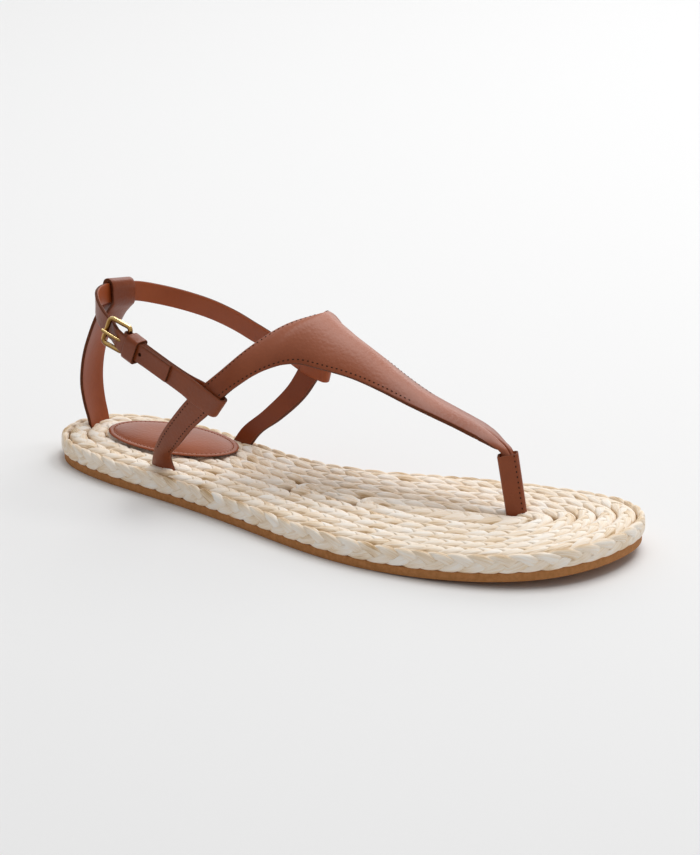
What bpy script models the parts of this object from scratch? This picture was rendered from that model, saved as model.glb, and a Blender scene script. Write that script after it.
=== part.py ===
"""Right-foot T-strap sandal on a coiled braid sole.

Millimetres from the back of the heel are used in the tables: x runs to the toe, y to the inner side of the
foot, z up. The finished pieces are in metres, with the origin at the middle of the underside.
"""
import math

import bmesh
import bpy
import numpy as np
from mathutils import Vector

for old in list(bpy.data.objects):
    bpy.data.objects.remove(old, do_unlink=True)

MM = 0.001
LENGTH = 250.0
GAP = 0.3

# Sole outline: distance from the heel, outer side, inner side.
HEEL_TIP = (0.0, 5.5)
TOE_TIP = (LENGTH, 7.0)
OUTLINE = (
    (2.5, -5.5, 15.8), (8.0, -13.0, 22.4), (16.0, -19.0, 26.4), (27.0, -23.3, 28.8), (40.0, -26.4, 29.4),
    (58.0, -29.0, 27.8), (78.0, -31.5, 23.5), (98.0, -34.6, 20.3), (112.0, -37.3, 20.2), (128.0, -40.8, 23.0),
    (145.0, -44.2, 29.7), (160.0, -46.2, 36.3), (178.0, -46.5, 42.6), (196.0, -44.4, 45.8),
    (212.0, -40.5, 46.8), (225.0, -35.3, 45.2), (235.0, -28.7, 40.4), (243.0, -19.5, 32.8), (248.0, -8.0, 22.5),
)
AXIS_HEEL, AXIS_TOE, AXIS_STEPS = 27.0, 208.0, 26
FAN_HEEL, FAN_TOE, SPOKE_LEAN = 9, 13, 10.0

# Toe spring: where the sole leaves the ground and how far its tip is lifted.
SPRING_START, SPRING_RISE = 165.0, 4.3

OUTSOLE_THICK = 3.3
OUTSOLE_SIDE = ((1.9, 0.0), (1.1, 0.6), (1.1, OUTSOLE_THICK))

# Side of the upright rim braid as inset and height, then the start, pitch, groove and crown of the rows laid on top.
BRAID_BASE = OUTSOLE_THICK + GAP
BRAID_SIDE = ((1.2, BRAID_BASE), (0.35, 4.7), (0.0, 6.8), (0.3, 9.0), (1.1, 10.1), (2.1, 10.3))
ROWS_FROM, ROW_PITCH, ROW_GROOVE, ROW_CROWN = 3.2, 6.9, 9.5, 10.4
ROW_COUNT = 6

# Vamp from the toe post back along its ridge to the top of the instep: ridge, outer edge, inner edge.
RIDGE = (
    ((201.6, 10.4, 32.9), (195.9, 8.9, 32.9), (195.9, 11.9, 32.9)),
    ((199.6, 11.0, 35.2), (194.4, 8.2, 34.5), (194.8, 14.6, 34.5)),
    ((194.6, 11.9, 37.1), (190.0, 7.4, 36.7), (190.3, 17.0, 36.7)),
    ((186.0, 12.3, 39.6), (184.0, 6.5, 38.8), (184.0, 18.3, 38.8)),
    ((178.0, 12.4, 41.9), (177.0, 6.2, 40.7), (177.0, 18.7, 40.8)),
    ((170.0, 12.2, 44.2), (170.0, 5.4, 42.6), (170.0, 18.8, 42.7)),
    ((160.5, 11.2, 48.3), (160.0, 3.3, 45.7), (160.0, 18.9, 45.6)),
    ((150.0, 9.6, 54.3), (150.0, 0.0, 49.8), (150.0, 18.9, 49.7)),
    ((139.0, 7.6, 61.6), (140.5, -4.0, 53.4), (140.5, 20.2, 53.3)),
    ((129.5, 5.8, 67.3), (131.0, -9.3, 56.2), (131.5, 21.6, 56.1)),
    ((121.3, 4.8, 72.7), (122.5, -14.0, 57.9), (123.5, 23.8, 57.2)),
)
# Wings from the instep down to the slots in the sole: back edge, front edge, crown of the band.
WING_OUTER = (
    ((113.5, -7.0, 69.7), (115.5, -20.3, 55.9), 6.0),
    ((105.5, -18.0, 62.5), (107.7, -26.9, 50.5), 3.4),
    ((97.0, -26.5, 52.9), (101.6, -30.6, 44.8), 1.6),
    ((88.3, -29.9, 44.6), (96.4, -30.8, 38.6), 0.8),
    ((77.9, -29.2, 33.7), (85.7, -28.9, 29.2), 0.6),
    ((69.3, -26.9, 23.8), (77.6, -26.5, 21.0), 0.5),
    ((63.7, -24.2, 14.9), (71.3, -24.1, 14.4), 0.3),
    ((63.6, -22.9, 8.2), (71.7, -22.9, 8.2), 0.2),
)
WING_INNER = (
    ((116.4, 13.0, 70.7), (116.6, 25.8, 54.0), 5.6),
    ((109.6, 20.6, 64.4), (111.2, 27.0, 50.1), 3.0),
    ((102.6, 24.4, 56.0), (106.6, 27.6, 45.6), 1.4),
    ((96.5, 26.1, 46.8), (102.6, 26.8, 39.5), 0.8),
    ((90.0, 25.2, 35.0), (98.2, 24.9, 32.0), 0.6),
    ((80.2, 22.5, 23.8), (88.6, 21.7, 21.9), 0.5),
    ((70.8, 21.4, 15.7), (79.1, 21.0, 14.6), 0.3),
    ((65.4, 21.2, 8.2), (74.0, 20.8, 8.2), 0.2),
)
VAMP_THICK, RIDGE_ROUND = 2.0, {-1: 0.45, 1: 0.18}
STEPS_PER_ROW = 2
ACROSS = (0.0, 0.25, 0.5, 0.75, 1.0)

# Ankle strap from its sewn loop on the inner wing, round the heel and through the buckle to its tail:
# centre x, y, z, half width, half thickness, skew of the cut.
ANKLE_STRAP = (
    (105.4, 26.5, 40.2, 4.0, 2.30, 0.0), (99.5, 26.3, 44.0, 4.0, 2.30, 0.0), (94.0, 26.4, 46.4, 3.9, 2.10, 0.0),
    (88.5, 27.2, 47.5, 3.8, 1.60, 0.0), (80.0, 28.4, 49.0, 3.8, 1.50, 0.0), (72.0, 29.1, 50.7, 3.8, 0.95, 0.0),
    (60.0, 29.2, 54.5, 3.8, 0.95, 0.0), (50.0, 28.0, 57.3, 3.8, 0.95, 0.0), (40.0, 24.2, 60.0, 3.8, 0.95, 0.0),
    (32.5, 17.9, 62.6, 3.8, 0.95, 0.0), (28.0, 10.2, 64.9, 3.8, 0.95, 0.0), (27.4, 4.8, 65.85, 3.8, 0.95, 0.0),
    (27.4, 0.3, 66.5, 3.8, 0.95, 0.0), (27.4, -4.2, 67.15, 3.8, 0.95, 0.0), (28.3, -9.0, 67.8, 3.8, 0.95, 0.0),
    (30.8, -15.0, 68.3, 3.8, 0.95, 0.0), (35.0, -21.2, 67.9, 3.8, 0.95, 0.0), (40.4, -25.8, 65.6, 3.8, 0.95, 0.0),
    (46.0, -28.3, 62.7, 3.7, 0.95, 0.0), (49.6, -29.1, 61.2, 3.7, 0.95, 0.0), (51.8, -30.2, 60.3, 3.7, 0.95, 0.0),
    (54.2, -32.2, 59.4, 3.7, 0.95, 0.0), (57.0, -33.3, 58.3, 3.7, 0.95, 0.0), (61.5, -33.2, 56.8, 3.6, 0.95, 0.0),
    (67.0, -33.0, 54.8, 3.6, 0.95, 0.0), (72.5, -33.0, 52.6, 3.6, 0.95, 0.0), (78.3, -32.9, 50.2, 3.6, 0.95, 0.05),
)
# Doubled buckle strap from the buckle's heel bar to its sewn loop on the outer wing, same columns.
BUCKLE_STRAP = (
    (54.7, -29.5, 59.3, 3.5, 1.20, 0.0), (55.6, -29.5, 58.95, 3.7, 2.05, 0.0), (56.8, -29.6, 58.5, 3.7, 2.35, 0.0),
    (59.4, -29.7, 57.5, 3.7, 1.90, 0.0), (63.0, -29.9, 56.1, 3.8, 1.45, 0.0), (71.0, -30.2, 52.8, 3.9, 1.40, 0.0),
    (80.0, -30.1, 49.1, 3.9, 1.40, 0.0), (86.0, -29.9, 46.7, 4.0, 1.55, 0.10), (90.5, -29.6, 44.9, 4.1, 2.25, 0.22),
    (94.5, -29.6, 43.3, 4.15, 2.35, 0.27), (99.2, -29.8, 41.4, 4.15, 2.30, 0.27),
)
HEEL_BAND = (
    (9.9, 7.4, 8.3, 5.9, 1.0, 0.0), (9.3, 7.1, 12.0, 5.9, 1.0, 0.0), (8.5, 6.2, 19.0, 5.7, 1.0, 0.0),
    (8.2, 4.9, 27.0, 5.7, 1.0, 0.0), (9.4, 3.7, 34.0, 5.7, 1.0, 0.0), (12.0, 2.8, 41.5, 5.8, 1.0, 0.0),
    (15.6, 2.0, 48.7, 5.9, 1.0, 0.0), (19.5, 1.4, 55.6, 6.1, 1.0, 0.0), (22.5, 0.9, 59.6, 6.3, 1.0, 0.0),
    (24.7, 0.6, 62.4, 6.4, 0.9, 0.0), (25.3, 0.4, 65.0, 6.4, 0.6, 0.0),
)
HEEL_LOOP_AT = (27.4, 0.3, 66.5)
HEEL_LOOP_ALONG = (0.0, -0.989, 0.148)
HEEL_LOOP_HALF, LOOP_WALL = 6.6, 0.75
STRAP_HALF_WIDTH, STRAP_HALF_THICK = 3.8, 0.95

TOE_POST = ((202.5, 12.0, 8.6, 3.0, 2.1, 0.0), (201.4, 11.6, 17.0, 3.0, 2.1, 0.0),
            (200.0, 10.9, 25.0, 3.0, 2.1, 0.0), (199.0, 10.4, 31.5, 3.0, 2.1, 0.0))

PAD_AT, PAD_HALF, PAD_TURN = (49.4, 4.6), (30.0, 16.9), -2.0
PAD_THICK, PAD_ROUND = 2.3, 1.1

LEFT_BAR = (48.4, -31.3, 61.8)
HEEL_BAR = (56.8, -29.6, 58.5)
WIRE, FRAME_HALF, FRAME_CORNER = 0.8, 4.9, 1.6
PRONG_WIRE = 0.55
KEEPER_AT, KEEPER_HALF_LENGTH, KEEPER_WALL = (61.0, -31.05, 56.7), 2.9, 0.6

LEATHER = ("leather", (0.21, 0.075, 0.036), 0.55, 0.0)
STRAW = ("straw", (0.66, 0.50, 0.29), 0.8, 0.0)
RUBBER = ("rubber", (0.27, 0.14, 0.06), 0.75, 0.0)
BRASS = ("brass", (0.78, 0.55, 0.24), 0.28, 1.0)


def collection(name):
    made = bpy.data.collections.new(name)
    bpy.context.scene.collection.children.link(made)
    return made


SANDAL = collection("sandal")
TOOLS = collection("cutting_tools")


def material(look):
    name, colour, rough, metal = look
    made = bpy.data.materials.get(name)
    if made is None:
        made = bpy.data.materials.new(name)
        made.use_nodes = True
        shader = made.node_tree.nodes["Principled BSDF"]
        shader.inputs["Base Color"].default_value = (*colour, 1.0)
        shader.inputs["Roughness"].default_value = rough
        shader.inputs["Metallic"].default_value = metal
    return made


def solid(name, verts, faces, look=None, closed=True):
    """Mesh object in metres; a piece with no look is a tool that joins or cuts another piece."""
    verts = (np.asarray(verts, float) - (LENGTH / 2, 0.0, 0.0)) * MM
    mesh = bpy.data.meshes.new(name)
    mesh.from_pydata([tuple(v) for v in verts], [], faces)
    work = bmesh.new()
    work.from_mesh(mesh)
    bmesh.ops.remove_doubles(work, verts=work.verts, dist=1e-5)
    bmesh.ops.dissolve_degenerate(work, edges=work.edges, dist=1e-6)
    bmesh.ops.recalc_face_normals(work, faces=work.faces)
    if not closed and sum(f.normal.z * f.calc_area() for f in work.faces) < 0:
        bmesh.ops.reverse_faces(work, faces=work.faces)
    work.to_mesh(mesh)
    work.free()
    made = bpy.data.objects.new(name, mesh)
    if look is None:
        TOOLS.objects.link(made)
        made.hide_render = True
        made.display_type = "WIRE"
    else:
        SANDAL.objects.link(made)
        mesh.materials.append(material(look))
    return made


def boolean(target, tool, operation):
    step = target.modifiers.new(tool.name, "BOOLEAN")
    step.operation = operation
    step.solver = "EXACT"
    step.object = tool


def smooth_rows(rows, per):
    """Cubic curve through the rows, with the same number of steps between each two of them."""
    rows = np.array(rows, float)
    at = np.concatenate([[0.0], np.cumsum(np.linalg.norm(np.diff(rows[:, :3], axis=0), axis=1))])
    slope = np.gradient(rows, at, axis=0)
    out = []
    for k in range(len(rows) - 1):
        h = at[k + 1] - at[k]
        for t in np.arange(per) / per:
            out.append((2 * t**3 - 3 * t**2 + 1) * rows[k] + (t**3 - 2 * t**2 + t) * h * slope[k]
                       + (3 * t**2 - 2 * t**3) * rows[k + 1] + (t**3 - t**2) * h * slope[k + 1])
    return np.array(out + [rows[-1]])


def loft(sections, ring=False):
    """Faces between closed sections, with end caps unless the sections run round to the first again."""
    sections = np.asarray(sections, float)
    count, size = sections.shape[:2]
    faces = []
    for i in range(count if ring else count - 1):
        j = (i + 1) % count
        for k in range(size):
            n = (k + 1) % size
            faces.append((i * size + k, i * size + n, j * size + n, j * size + k))
    if not ring:
        faces.append(tuple(range(size))[::-1])
        faces.append(tuple((count - 1) * size + k for k in range(size)))
    return sections.reshape(-1, 3), faces


def unit(v):
    v = np.asarray(v, float)
    return v / np.linalg.norm(v)


def band_section(half_w, half_t):
    """Strap cross-section with eased edges."""
    c = min(0.45 * half_t, 0.45 * half_w, 0.55)
    return ((half_w - c, half_t), (half_w, half_t - c), (half_w, c - half_t), (half_w - c, -half_t),
            (c - half_w, -half_t), (-half_w, c - half_t), (-half_w, half_t - c), (c - half_w, half_t))


def sweep(rows, width_axis, grow=0.0):
    """Strap swept along its centre line; the width axis says which way it is wide."""
    sections = []
    for i, row in enumerate(rows):
        along = unit(rows[min(i + 1, len(rows) - 1)][:3] - rows[max(i - 1, 0)][:3])
        wide = np.asarray(width_axis, float)
        wide = unit(wide - along * (wide @ along))
        deep = np.cross(along, wide)
        lean = wide + along * row[5]
        sections.append([row[:3] + lean * w + deep * t for w, t in band_section(row[3] + grow, row[4] + grow)])
    return loft(sections)


def frame_ring(centre, side_a, side_b, half_a, half_b, corner, steps=3):
    """Rounded rectangle round a centre, as points and outward directions."""
    points, outward = [], []
    for sa, sb, start in ((1, 1, 0), (-1, 1, 90), (-1, -1, 180), (1, -1, 270)):
        mid = np.asarray(centre) + side_a * sa * (half_a - corner) + side_b * sb * (half_b - corner)
        for k in range(steps + 1):
            turn = math.radians(start + 90 * k / steps)
            way = side_a * math.cos(turn) + side_b * math.sin(turn)
            points.append(mid + way * corner)
            outward.append(way)
    return np.array(points), np.array(outward)


def ring_band(centre, side_a, side_b, half_a, half_b, corner, half_length, wall):
    """Closed leather loop: a flat band run round a rounded rectangle."""
    points, outward = frame_ring(centre, side_a, side_b, half_a, half_b, corner)
    along = np.cross(side_a, side_b)
    sections = [[p + along * w + o * t for w, t in band_section(half_length, wall)]
                for p, o in zip(points, outward)]
    return loft(sections, ring=True)


def spring(x):
    return SPRING_RISE * np.clip((np.asarray(x) - SPRING_START) / (LENGTH - SPRING_START), 0.0, None) ** 2


def nearest(side, point):
    """Index of the rim point beside a point of the middle line."""
    far = np.hypot(*(side - point).T) + 1000.0 * (np.abs(side[:, 0] - point[0]) > SPOKE_LEAN)
    return int(np.argmin(far))


def sole_spokes():
    """Lines from the rim to the middle line of the sole, in order round the foot."""
    outer = [HEEL_TIP] + [(x, a) for x, a, _ in OUTLINE] + [TOE_TIP]
    inner = [HEEL_TIP] + [(x, b) for x, _, b in OUTLINE] + [TOE_TIP]
    loop = np.array(outer + inner[-2:0:-1])
    wrap = np.vstack([loop[-3:], loop, loop[:4]])
    fine = smooth_rows(np.c_[wrap, np.zeros(len(wrap))], 24)[3 * 24:-3 * 24 - 1, :2]
    tip = int(np.argmax(fine[:, 0]))
    sides = (fine[:tip + 1], fine[tip:][::-1])
    xs = np.linspace(AXIS_HEEL, AXIS_TOE, AXIS_STEPS)
    mid = [np.mean([np.interp(x, s[:, 0], s[:, 1]) for s in sides]) for x in xs]
    axis = np.c_[xs, mid]
    feet = [[start + nearest(part, a) for a in axis] for start, part in ((0, fine[:tip + 1]), (tip, fine[tip:]))]
    n = len(fine)
    spokes = [(fine[i], a) for i, a in zip(feet[0], axis)]
    for i in np.linspace(feet[0][-1], feet[1][-1], FAN_TOE + 2)[1:-1]:
        spokes.append((fine[int(round(i))], axis[-1]))
    spokes += [(fine[i], a) for i, a in zip(feet[1][::-1], axis[::-1])]
    for i in np.linspace(feet[1][0], feet[0][0] + n, FAN_HEEL + 2)[1:-1]:
        spokes.append((fine[int(round(i)) % n], axis[0]))
    return spokes


def sole_body(profile_of):
    """Closed sole from one profile per spoke, run from the middle underneath, round the rim, to the middle."""
    sections = []
    for rim, middle in sole_spokes():
        reach = np.hypot(*(middle - rim))
        way = (middle - rim) / reach
        section = []
        for inset, height in profile_of(reach):
            xy = rim + way * min(inset, reach)
            section.append((xy[0], xy[1], height + spring(xy[0])))
        sections.append(section)
    sections = np.array(sections)
    count, size = sections.shape[:2]
    faces = [(i * size + k, i * size + k + 1, (i + 1) % count * size + k + 1, (i + 1) % count * size + k)
             for i in range(count) for k in range(size - 1)]
    return sections.reshape(-1, 3), faces


def outsole_profile(reach):
    return [(reach, 0.0)] + list(OUTSOLE_SIDE) + [(reach, OUTSOLE_THICK)]


def braid_profile(reach):
    points = [(reach, BRAID_BASE)] + list(BRAID_SIDE)
    for row in range(ROW_COUNT):
        start = ROWS_FROM + row * ROW_PITCH
        points += [(start, ROW_GROOVE), (start + 0.3 * ROW_PITCH, ROW_CROWN), (start + 0.7 * ROW_PITCH, ROW_CROWN)]
    centre = 0.5 * (ROW_GROOVE + ROW_CROWN)
    return [(d, z if d < reach - 1e-6 or z <= BRAID_BASE else centre) for d, z in points] + [(reach, centre)]


def vamp_half(side, edge_column, wing):
    """One half of the vamp: from the ridge to the cut edge, then down the wing between its two edges."""
    ridge = np.array([row[0] for row in RIDGE])
    back = np.vstack([ridge[-1:], [row[0] for row in wing]])
    front = np.vstack([[row[edge_column] for row in RIDGE], [row[1] for row in wing]])
    crown = [a + np.array((0.0, side, 0.0)) * RIDGE_ROUND[side] * np.linalg.norm(b - a)
             for a, b in zip(ridge, front[:len(ridge)])]
    for k, row in enumerate(wing):
        a, b = np.array(row[0]), np.array(row[1])
        before = front[len(ridge) + k - 1]
        normal = unit(np.cross(b - a, b - before))
        if normal @ np.array((0.0, side, 0.6)) < 0:
            normal = -normal
        crown.append((a + b) / 2 + normal * row[2])
    inner = np.vstack([smooth_rows(ridge, STEPS_PER_ROW), smooth_rows(back, STEPS_PER_ROW)[1:]])
    outer = smooth_rows(front, STEPS_PER_ROW)
    crown = smooth_rows(crown, STEPS_PER_ROW)
    grid = [[(1 - c) ** 2 * a + 2 * c * (1 - c) * k + c * c * b for c in ACROSS]
            for a, k, b in zip(inner, crown, outer)]
    return np.array(grid)


def build_vamp():
    verts, faces = [], []
    for side, column, wing in ((-1, 1, WING_OUTER), (1, 2, WING_INNER)):
        grid = vamp_half(side, column, wing)
        rows, size = grid.shape[:2]
        base = len(verts)
        verts += list(grid.reshape(-1, 3))
        for i in range(rows - 1):
            for k in range(size - 1):
                q = base + i * size + k
                quad = (q, q + 1, q + size + 1, q + size)
                faces.append(quad if side < 0 else quad[::-1])
    made = solid("upper", verts, faces, LEATHER, closed=False)
    shell = made.modifiers.new("wall", "SOLIDIFY")
    shell.thickness = VAMP_THICK * MM
    shell.offset = -1.0
    shell.use_even_offset = True
    return made


def slot(name, rows, width_axis):
    """Cutting tool a little larger than the foot of a strap."""
    return solid(name, *sweep(np.array(rows, float), width_axis, GAP))


def wing_foot(wing):
    """Centre line of the lowest piece of a wing, from above the sole to the level bottom of its slot."""
    side = math.copysign(1.0, wing[-1][0][1])
    middles, spans = [], []
    for (a, b, _), extra in ((wing[-2], 0.0), (wing[-1], GAP)):
        middles.append((np.array(a) + np.array(b)) / 2 - np.array((0.0, side * VAMP_THICK / 2, extra)))
        spans.append(np.linalg.norm(np.array(b) - a))
    along = unit(middles[1] - middles[0])
    wide = unit(np.array(FORWARD) - along * along[0])
    skew = -wide[2] / along[2]
    stretch = np.linalg.norm(wide + along * skew)
    return [(*mid, span / 2 / stretch + 0.25, VAMP_THICK / 2 + 0.3, skew) for mid, span in zip(middles, spans)]


UP, SIDEWAYS, FORWARD = (0.0, 0.0, 1.0), (0.0, 1.0, 0.0), (1.0, 0.0, 0.0)

outsole = solid("outsole", *sole_body(outsole_profile), RUBBER)
braid = solid("braid_sole", *sole_body(braid_profile), STRAW)
upper = build_vamp()

ankle = smooth_rows(ANKLE_STRAP, 2)
buckle_strap = smooth_rows(BUCKLE_STRAP, 2)
boolean(upper, solid("ankle_strap_joined", *sweep(ankle, UP)), "UNION")
boolean(upper, solid("buckle_strap_joined", *sweep(buckle_strap, UP)), "UNION")

heel_rows = smooth_rows(HEEL_BAND, 1)
heel_strap = solid("heel_strap", *sweep(heel_rows, SIDEWAYS), LEATHER)
loop_along = unit(HEEL_LOOP_ALONG)
loop_out = np.array((-1.0, 0.0, 0.0))
loop_up = np.cross(loop_along, loop_out)
loop_reach = STRAP_HALF_THICK + GAP + LOOP_WALL + 0.1, STRAP_HALF_WIDTH + GAP + LOOP_WALL
heel_loop = solid("heel_loop_joined", *ring_band(HEEL_LOOP_AT, loop_out, loop_up, *loop_reach, 1.6,
                                                 HEEL_LOOP_HALF, LOOP_WALL))
boolean(heel_strap, heel_loop, "UNION")

post_rows = smooth_rows(TOE_POST, 1)
toe_post = solid("toe_post", *sweep(post_rows, FORWARD), LEATHER)
edge = toe_post.modifiers.new("eased", "BEVEL")
edge.width, edge.segments, edge.limit_method, edge.angle_limit = 0.35 * MM, 1, "ANGLE", math.radians(60)

bar_a, bar_b = np.array(LEFT_BAR), np.array(HEEL_BAR)
frame_along = unit(bar_b - bar_a)
frame_up = unit(np.array(UP) - frame_along * (np.array(UP) @ frame_along))
frame_out = np.cross(frame_along, frame_up)
if frame_out[1] > 0:
    frame_out = -frame_out
points, outward = frame_ring((bar_a + bar_b) / 2, frame_along, frame_up,
                             np.linalg.norm(bar_b - bar_a) / 2, FRAME_HALF, FRAME_CORNER)
wire = [[p + WIRE * (o * math.cos(t) + frame_out * math.sin(t)) for t in np.arange(8) * math.tau / 8]
        for p, o in zip(points, outward)]
solid("buckle_frame", *loft(wire, ring=True), BRASS)

rest = WIRE + GAP + PRONG_WIRE
PRONG = (bar_b + frame_out * (rest + 0.1), bar_b - frame_along * 3.0 + frame_out * (rest + 0.5),
         bar_b - frame_along * 6.0 + frame_out * (rest + 0.45), bar_a + frame_out * rest,
         bar_a - frame_along * 0.7 + frame_out * (rest - 0.05))
prong_rows = smooth_rows([(*p, PRONG_WIRE, PRONG_WIRE, 0.0) for p in PRONG], 2)
solid("buckle_prong", *sweep(prong_rows, UP), BRASS)
boolean(upper, slot("prong_slot", prong_rows, UP), "DIFFERENCE")
bar_rows = [(*(bar_b + frame_up * s), WIRE, WIRE, 0.0) for s in (-6.5, 6.5)]
boolean(upper, slot("heel_bar_bore", bar_rows, FORWARD), "DIFFERENCE")

keeper_along = unit(buckle_strap[9][:3] - buckle_strap[7][:3])
keeper_up = unit(np.array(UP) - keeper_along * (np.array(UP) @ keeper_along))
keeper_out = np.cross(keeper_along, keeper_up)
solid("keeper", *ring_band(KEEPER_AT, keeper_up, keeper_out, STRAP_HALF_WIDTH + GAP + KEEPER_WALL,
                           3.65 + KEEPER_WALL, 1.3, KEEPER_HALF_LENGTH, KEEPER_WALL), LEATHER)

bpy.ops.mesh.primitive_cylinder_add(vertices=48, radius=1.0, depth=PAD_THICK * MM)
pad = bpy.context.active_object
pad.name = pad.data.name = "heel_pad"
for vert in pad.data.vertices:
    vert.co.x *= PAD_HALF[0] * MM
    vert.co.y *= PAD_HALF[1] * MM
turn = math.radians(PAD_TURN)
for vert in pad.data.vertices:
    x, y = vert.co.x, vert.co.y
    vert.co.x = x * math.cos(turn) - y * math.sin(turn) + (PAD_AT[0] - LENGTH / 2) * MM
    vert.co.y = x * math.sin(turn) + y * math.cos(turn) + PAD_AT[1] * MM
    vert.co.z += (ROW_CROWN + GAP + PAD_THICK / 2) * MM
pad.data.materials.append(material(LEATHER))
for holder in list(pad.users_collection):
    holder.objects.unlink(pad)
SANDAL.objects.link(pad)
edge = pad.modifiers.new("padded_rim", "BEVEL")
edge.width, edge.segments, edge.limit_method = PAD_ROUND * MM, 3, "ANGLE"

for name, rows, wide in (
    ("outer_wing_slot", wing_foot(WING_OUTER), FORWARD),
    ("inner_wing_slot", wing_foot(WING_INNER), FORWARD),
    ("heel_strap_slot", ((9.07, 6.85, 14.0, 5.9, 1.0, 0.0), (9.95, 7.42, 8.0, 5.9, 1.0, 0.0)), SIDEWAYS),
    ("toe_post_slot", ((201.67, 11.7, 15.0, 3.0, 2.1, 0.0), (202.55, 12.0, 8.3, 3.0, 2.1, 0.0)), FORWARD),
):
    boolean(braid, slot(name, rows, wide), "DIFFERENCE")

# The whole sandal is centred over the origin, with the underside on the ground.
bpy.context.view_layer.update()
rim = np.array([v.co for v in braid.data.vertices])
shift = Vector((-(rim[:, 0].min() + rim[:, 0].max()) / 2, -(rim[:, 1].min() + rim[:, 1].max()) / 2, 0.0))
for piece in list(SANDAL.objects) + list(TOOLS.objects):
    for vert in piece.data.vertices:
        vert.co += shift
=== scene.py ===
# %% [markdown]
# # Dressing a strappy sandal
# The imported frame holds the sandal as plain solids: a thin outsole, a sole of coiled straw plait, a heel pad, the
# leather upper and its small buckle. This lesson builds the visible pieces around those solids: real plaited straw,
# sewn leather straps with painted edges, and polished metal. The frame comes first, because every piece that follows
# rides on its one body.

# %% Load the frame
import math

import bpy
import numpy as np
from mathutils import Matrix, Vector


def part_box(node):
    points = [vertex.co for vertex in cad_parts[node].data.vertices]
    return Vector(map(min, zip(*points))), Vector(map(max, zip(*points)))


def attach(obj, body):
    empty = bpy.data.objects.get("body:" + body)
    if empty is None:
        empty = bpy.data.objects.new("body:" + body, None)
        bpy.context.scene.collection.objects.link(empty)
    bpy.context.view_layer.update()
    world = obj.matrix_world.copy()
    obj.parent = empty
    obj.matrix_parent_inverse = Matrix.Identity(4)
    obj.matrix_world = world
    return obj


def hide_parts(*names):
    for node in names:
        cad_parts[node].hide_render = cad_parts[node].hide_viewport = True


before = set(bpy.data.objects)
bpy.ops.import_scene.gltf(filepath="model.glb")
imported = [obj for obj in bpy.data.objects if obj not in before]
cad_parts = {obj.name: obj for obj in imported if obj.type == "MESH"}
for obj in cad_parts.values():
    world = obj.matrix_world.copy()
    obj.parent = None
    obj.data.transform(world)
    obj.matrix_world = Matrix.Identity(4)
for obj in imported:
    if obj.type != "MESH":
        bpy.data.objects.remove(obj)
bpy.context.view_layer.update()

print("nodes:", ", ".join(sorted(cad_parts)))

# %% [markdown]
# A shoemaker measures from the back of the heel, so the tables here are in millimetres from there: x to the toe, y to
# the inner side of the foot, z up. The frame's origin is in the middle of the sole instead. The heel pad is a plain
# oval in both, so its middle gives the step from one to the other.

# %% Measures from the heel
MM = 0.001
PAD_AT, PAD_HALF, PAD_TURN = (49.4, 4.6), (30.0, 16.9), -2.0
pad_low, pad_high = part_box("heel_pad")
pad_middle = (pad_low + pad_high) / 2 / MM
HEEL = np.array((pad_middle.x - PAD_AT[0], pad_middle.y - PAD_AT[1], 0.0))


def metres(points):
    """Points measured from the heel, as the frame has them."""
    return (np.asarray(points, float) + HEEL) * MM


print("the heel lies at", HEEL.round(2), "mm")

# %% [markdown]
# Blender's operators work on whatever is selected, and loading leaves the solids selected. These helpers clear the
# selection, name the primitive that was just added, and make modifiers permanent, so that what is measured is the
# finished mesh.

# %% Helpers for modelling
def clear():
    """Deselects everything, as before each new primitive."""
    bpy.ops.object.select_all(action="DESELECT")


def pick(obj):
    """Selects one object and nothing else."""
    clear()
    obj.select_set(True)
    bpy.context.view_layer.objects.active = obj


def added(name):
    """The primitive that was just added, under its own name."""
    obj = bpy.context.active_object
    obj.name = obj.data.name = name
    return obj


def lay(obj, points):
    """Moves an object's vertices to points that are measured from the heel."""
    obj.data.vertices.foreach_set("co", metres(points).astype(np.float32).ravel())
    obj.data.update()


def edit(obj):
    """Opens an object for editing with everything in it selected."""
    pick(obj)
    bpy.ops.object.mode_set(mode="EDIT")
    bpy.ops.mesh.select_all(action="SELECT")


def done():
    """Closes the edit with the faces turned outwards."""
    bpy.ops.mesh.select_all(action="SELECT")
    bpy.ops.mesh.normals_make_consistent(inside=False)
    bpy.ops.object.mode_set(mode="OBJECT")


def apply_all(obj, angle=40.0):
    """Makes the modifiers permanent and shades the soft edges smooth."""
    pick(obj)
    for step in list(obj.modifiers):
        bpy.ops.object.modifier_apply(modifier=step.name)
    bpy.ops.object.shade_smooth_by_angle(angle=math.radians(angle))
    return obj


def put_on(obj, slot, nodes, *looks):
    """Dresses a finished piece, lets it ride on the sandal and hides the solids that it stands for."""
    for index, look in enumerate(looks):
        if index < len(obj.data.materials):
            obj.data.materials[index] = look
        else:
            obj.data.materials.append(look)
    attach(obj, "root")
    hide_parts(*nodes)
    print(obj.name, "has", sum(len(p.vertices) - 2 for p in obj.data.polygons), "triangles")


print("helpers for modelling are ready")

# %% [markdown]
# The camera stands where the photograph was taken from: in front of the outer side, a little above the straps. A long
# lens keeps the sandal's shape quiet. It is aimed at the middle of the one sandal.

# %% Camera
CAMERA_AT = (819.4, -907.0, 380.7)
AIM_AT = (137.0, 0.0, 33.0)
LENS, SENSOR, NEAREST = 138.0, 36.0, 0.05

eye, aim = Vector(metres(CAMERA_AT)), Vector(metres(AIM_AT))
bpy.ops.object.camera_add(location=eye, rotation=(aim - eye).to_track_quat("-Z", "Y").to_euler())
camera = added("camera")
camera.data.lens = LENS
camera.data.sensor_width = SENSOR
camera.data.clip_start = NEAREST
bpy.context.scene.camera = camera
print("camera", round((aim - eye).length, 3), "m from the sandal")

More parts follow.
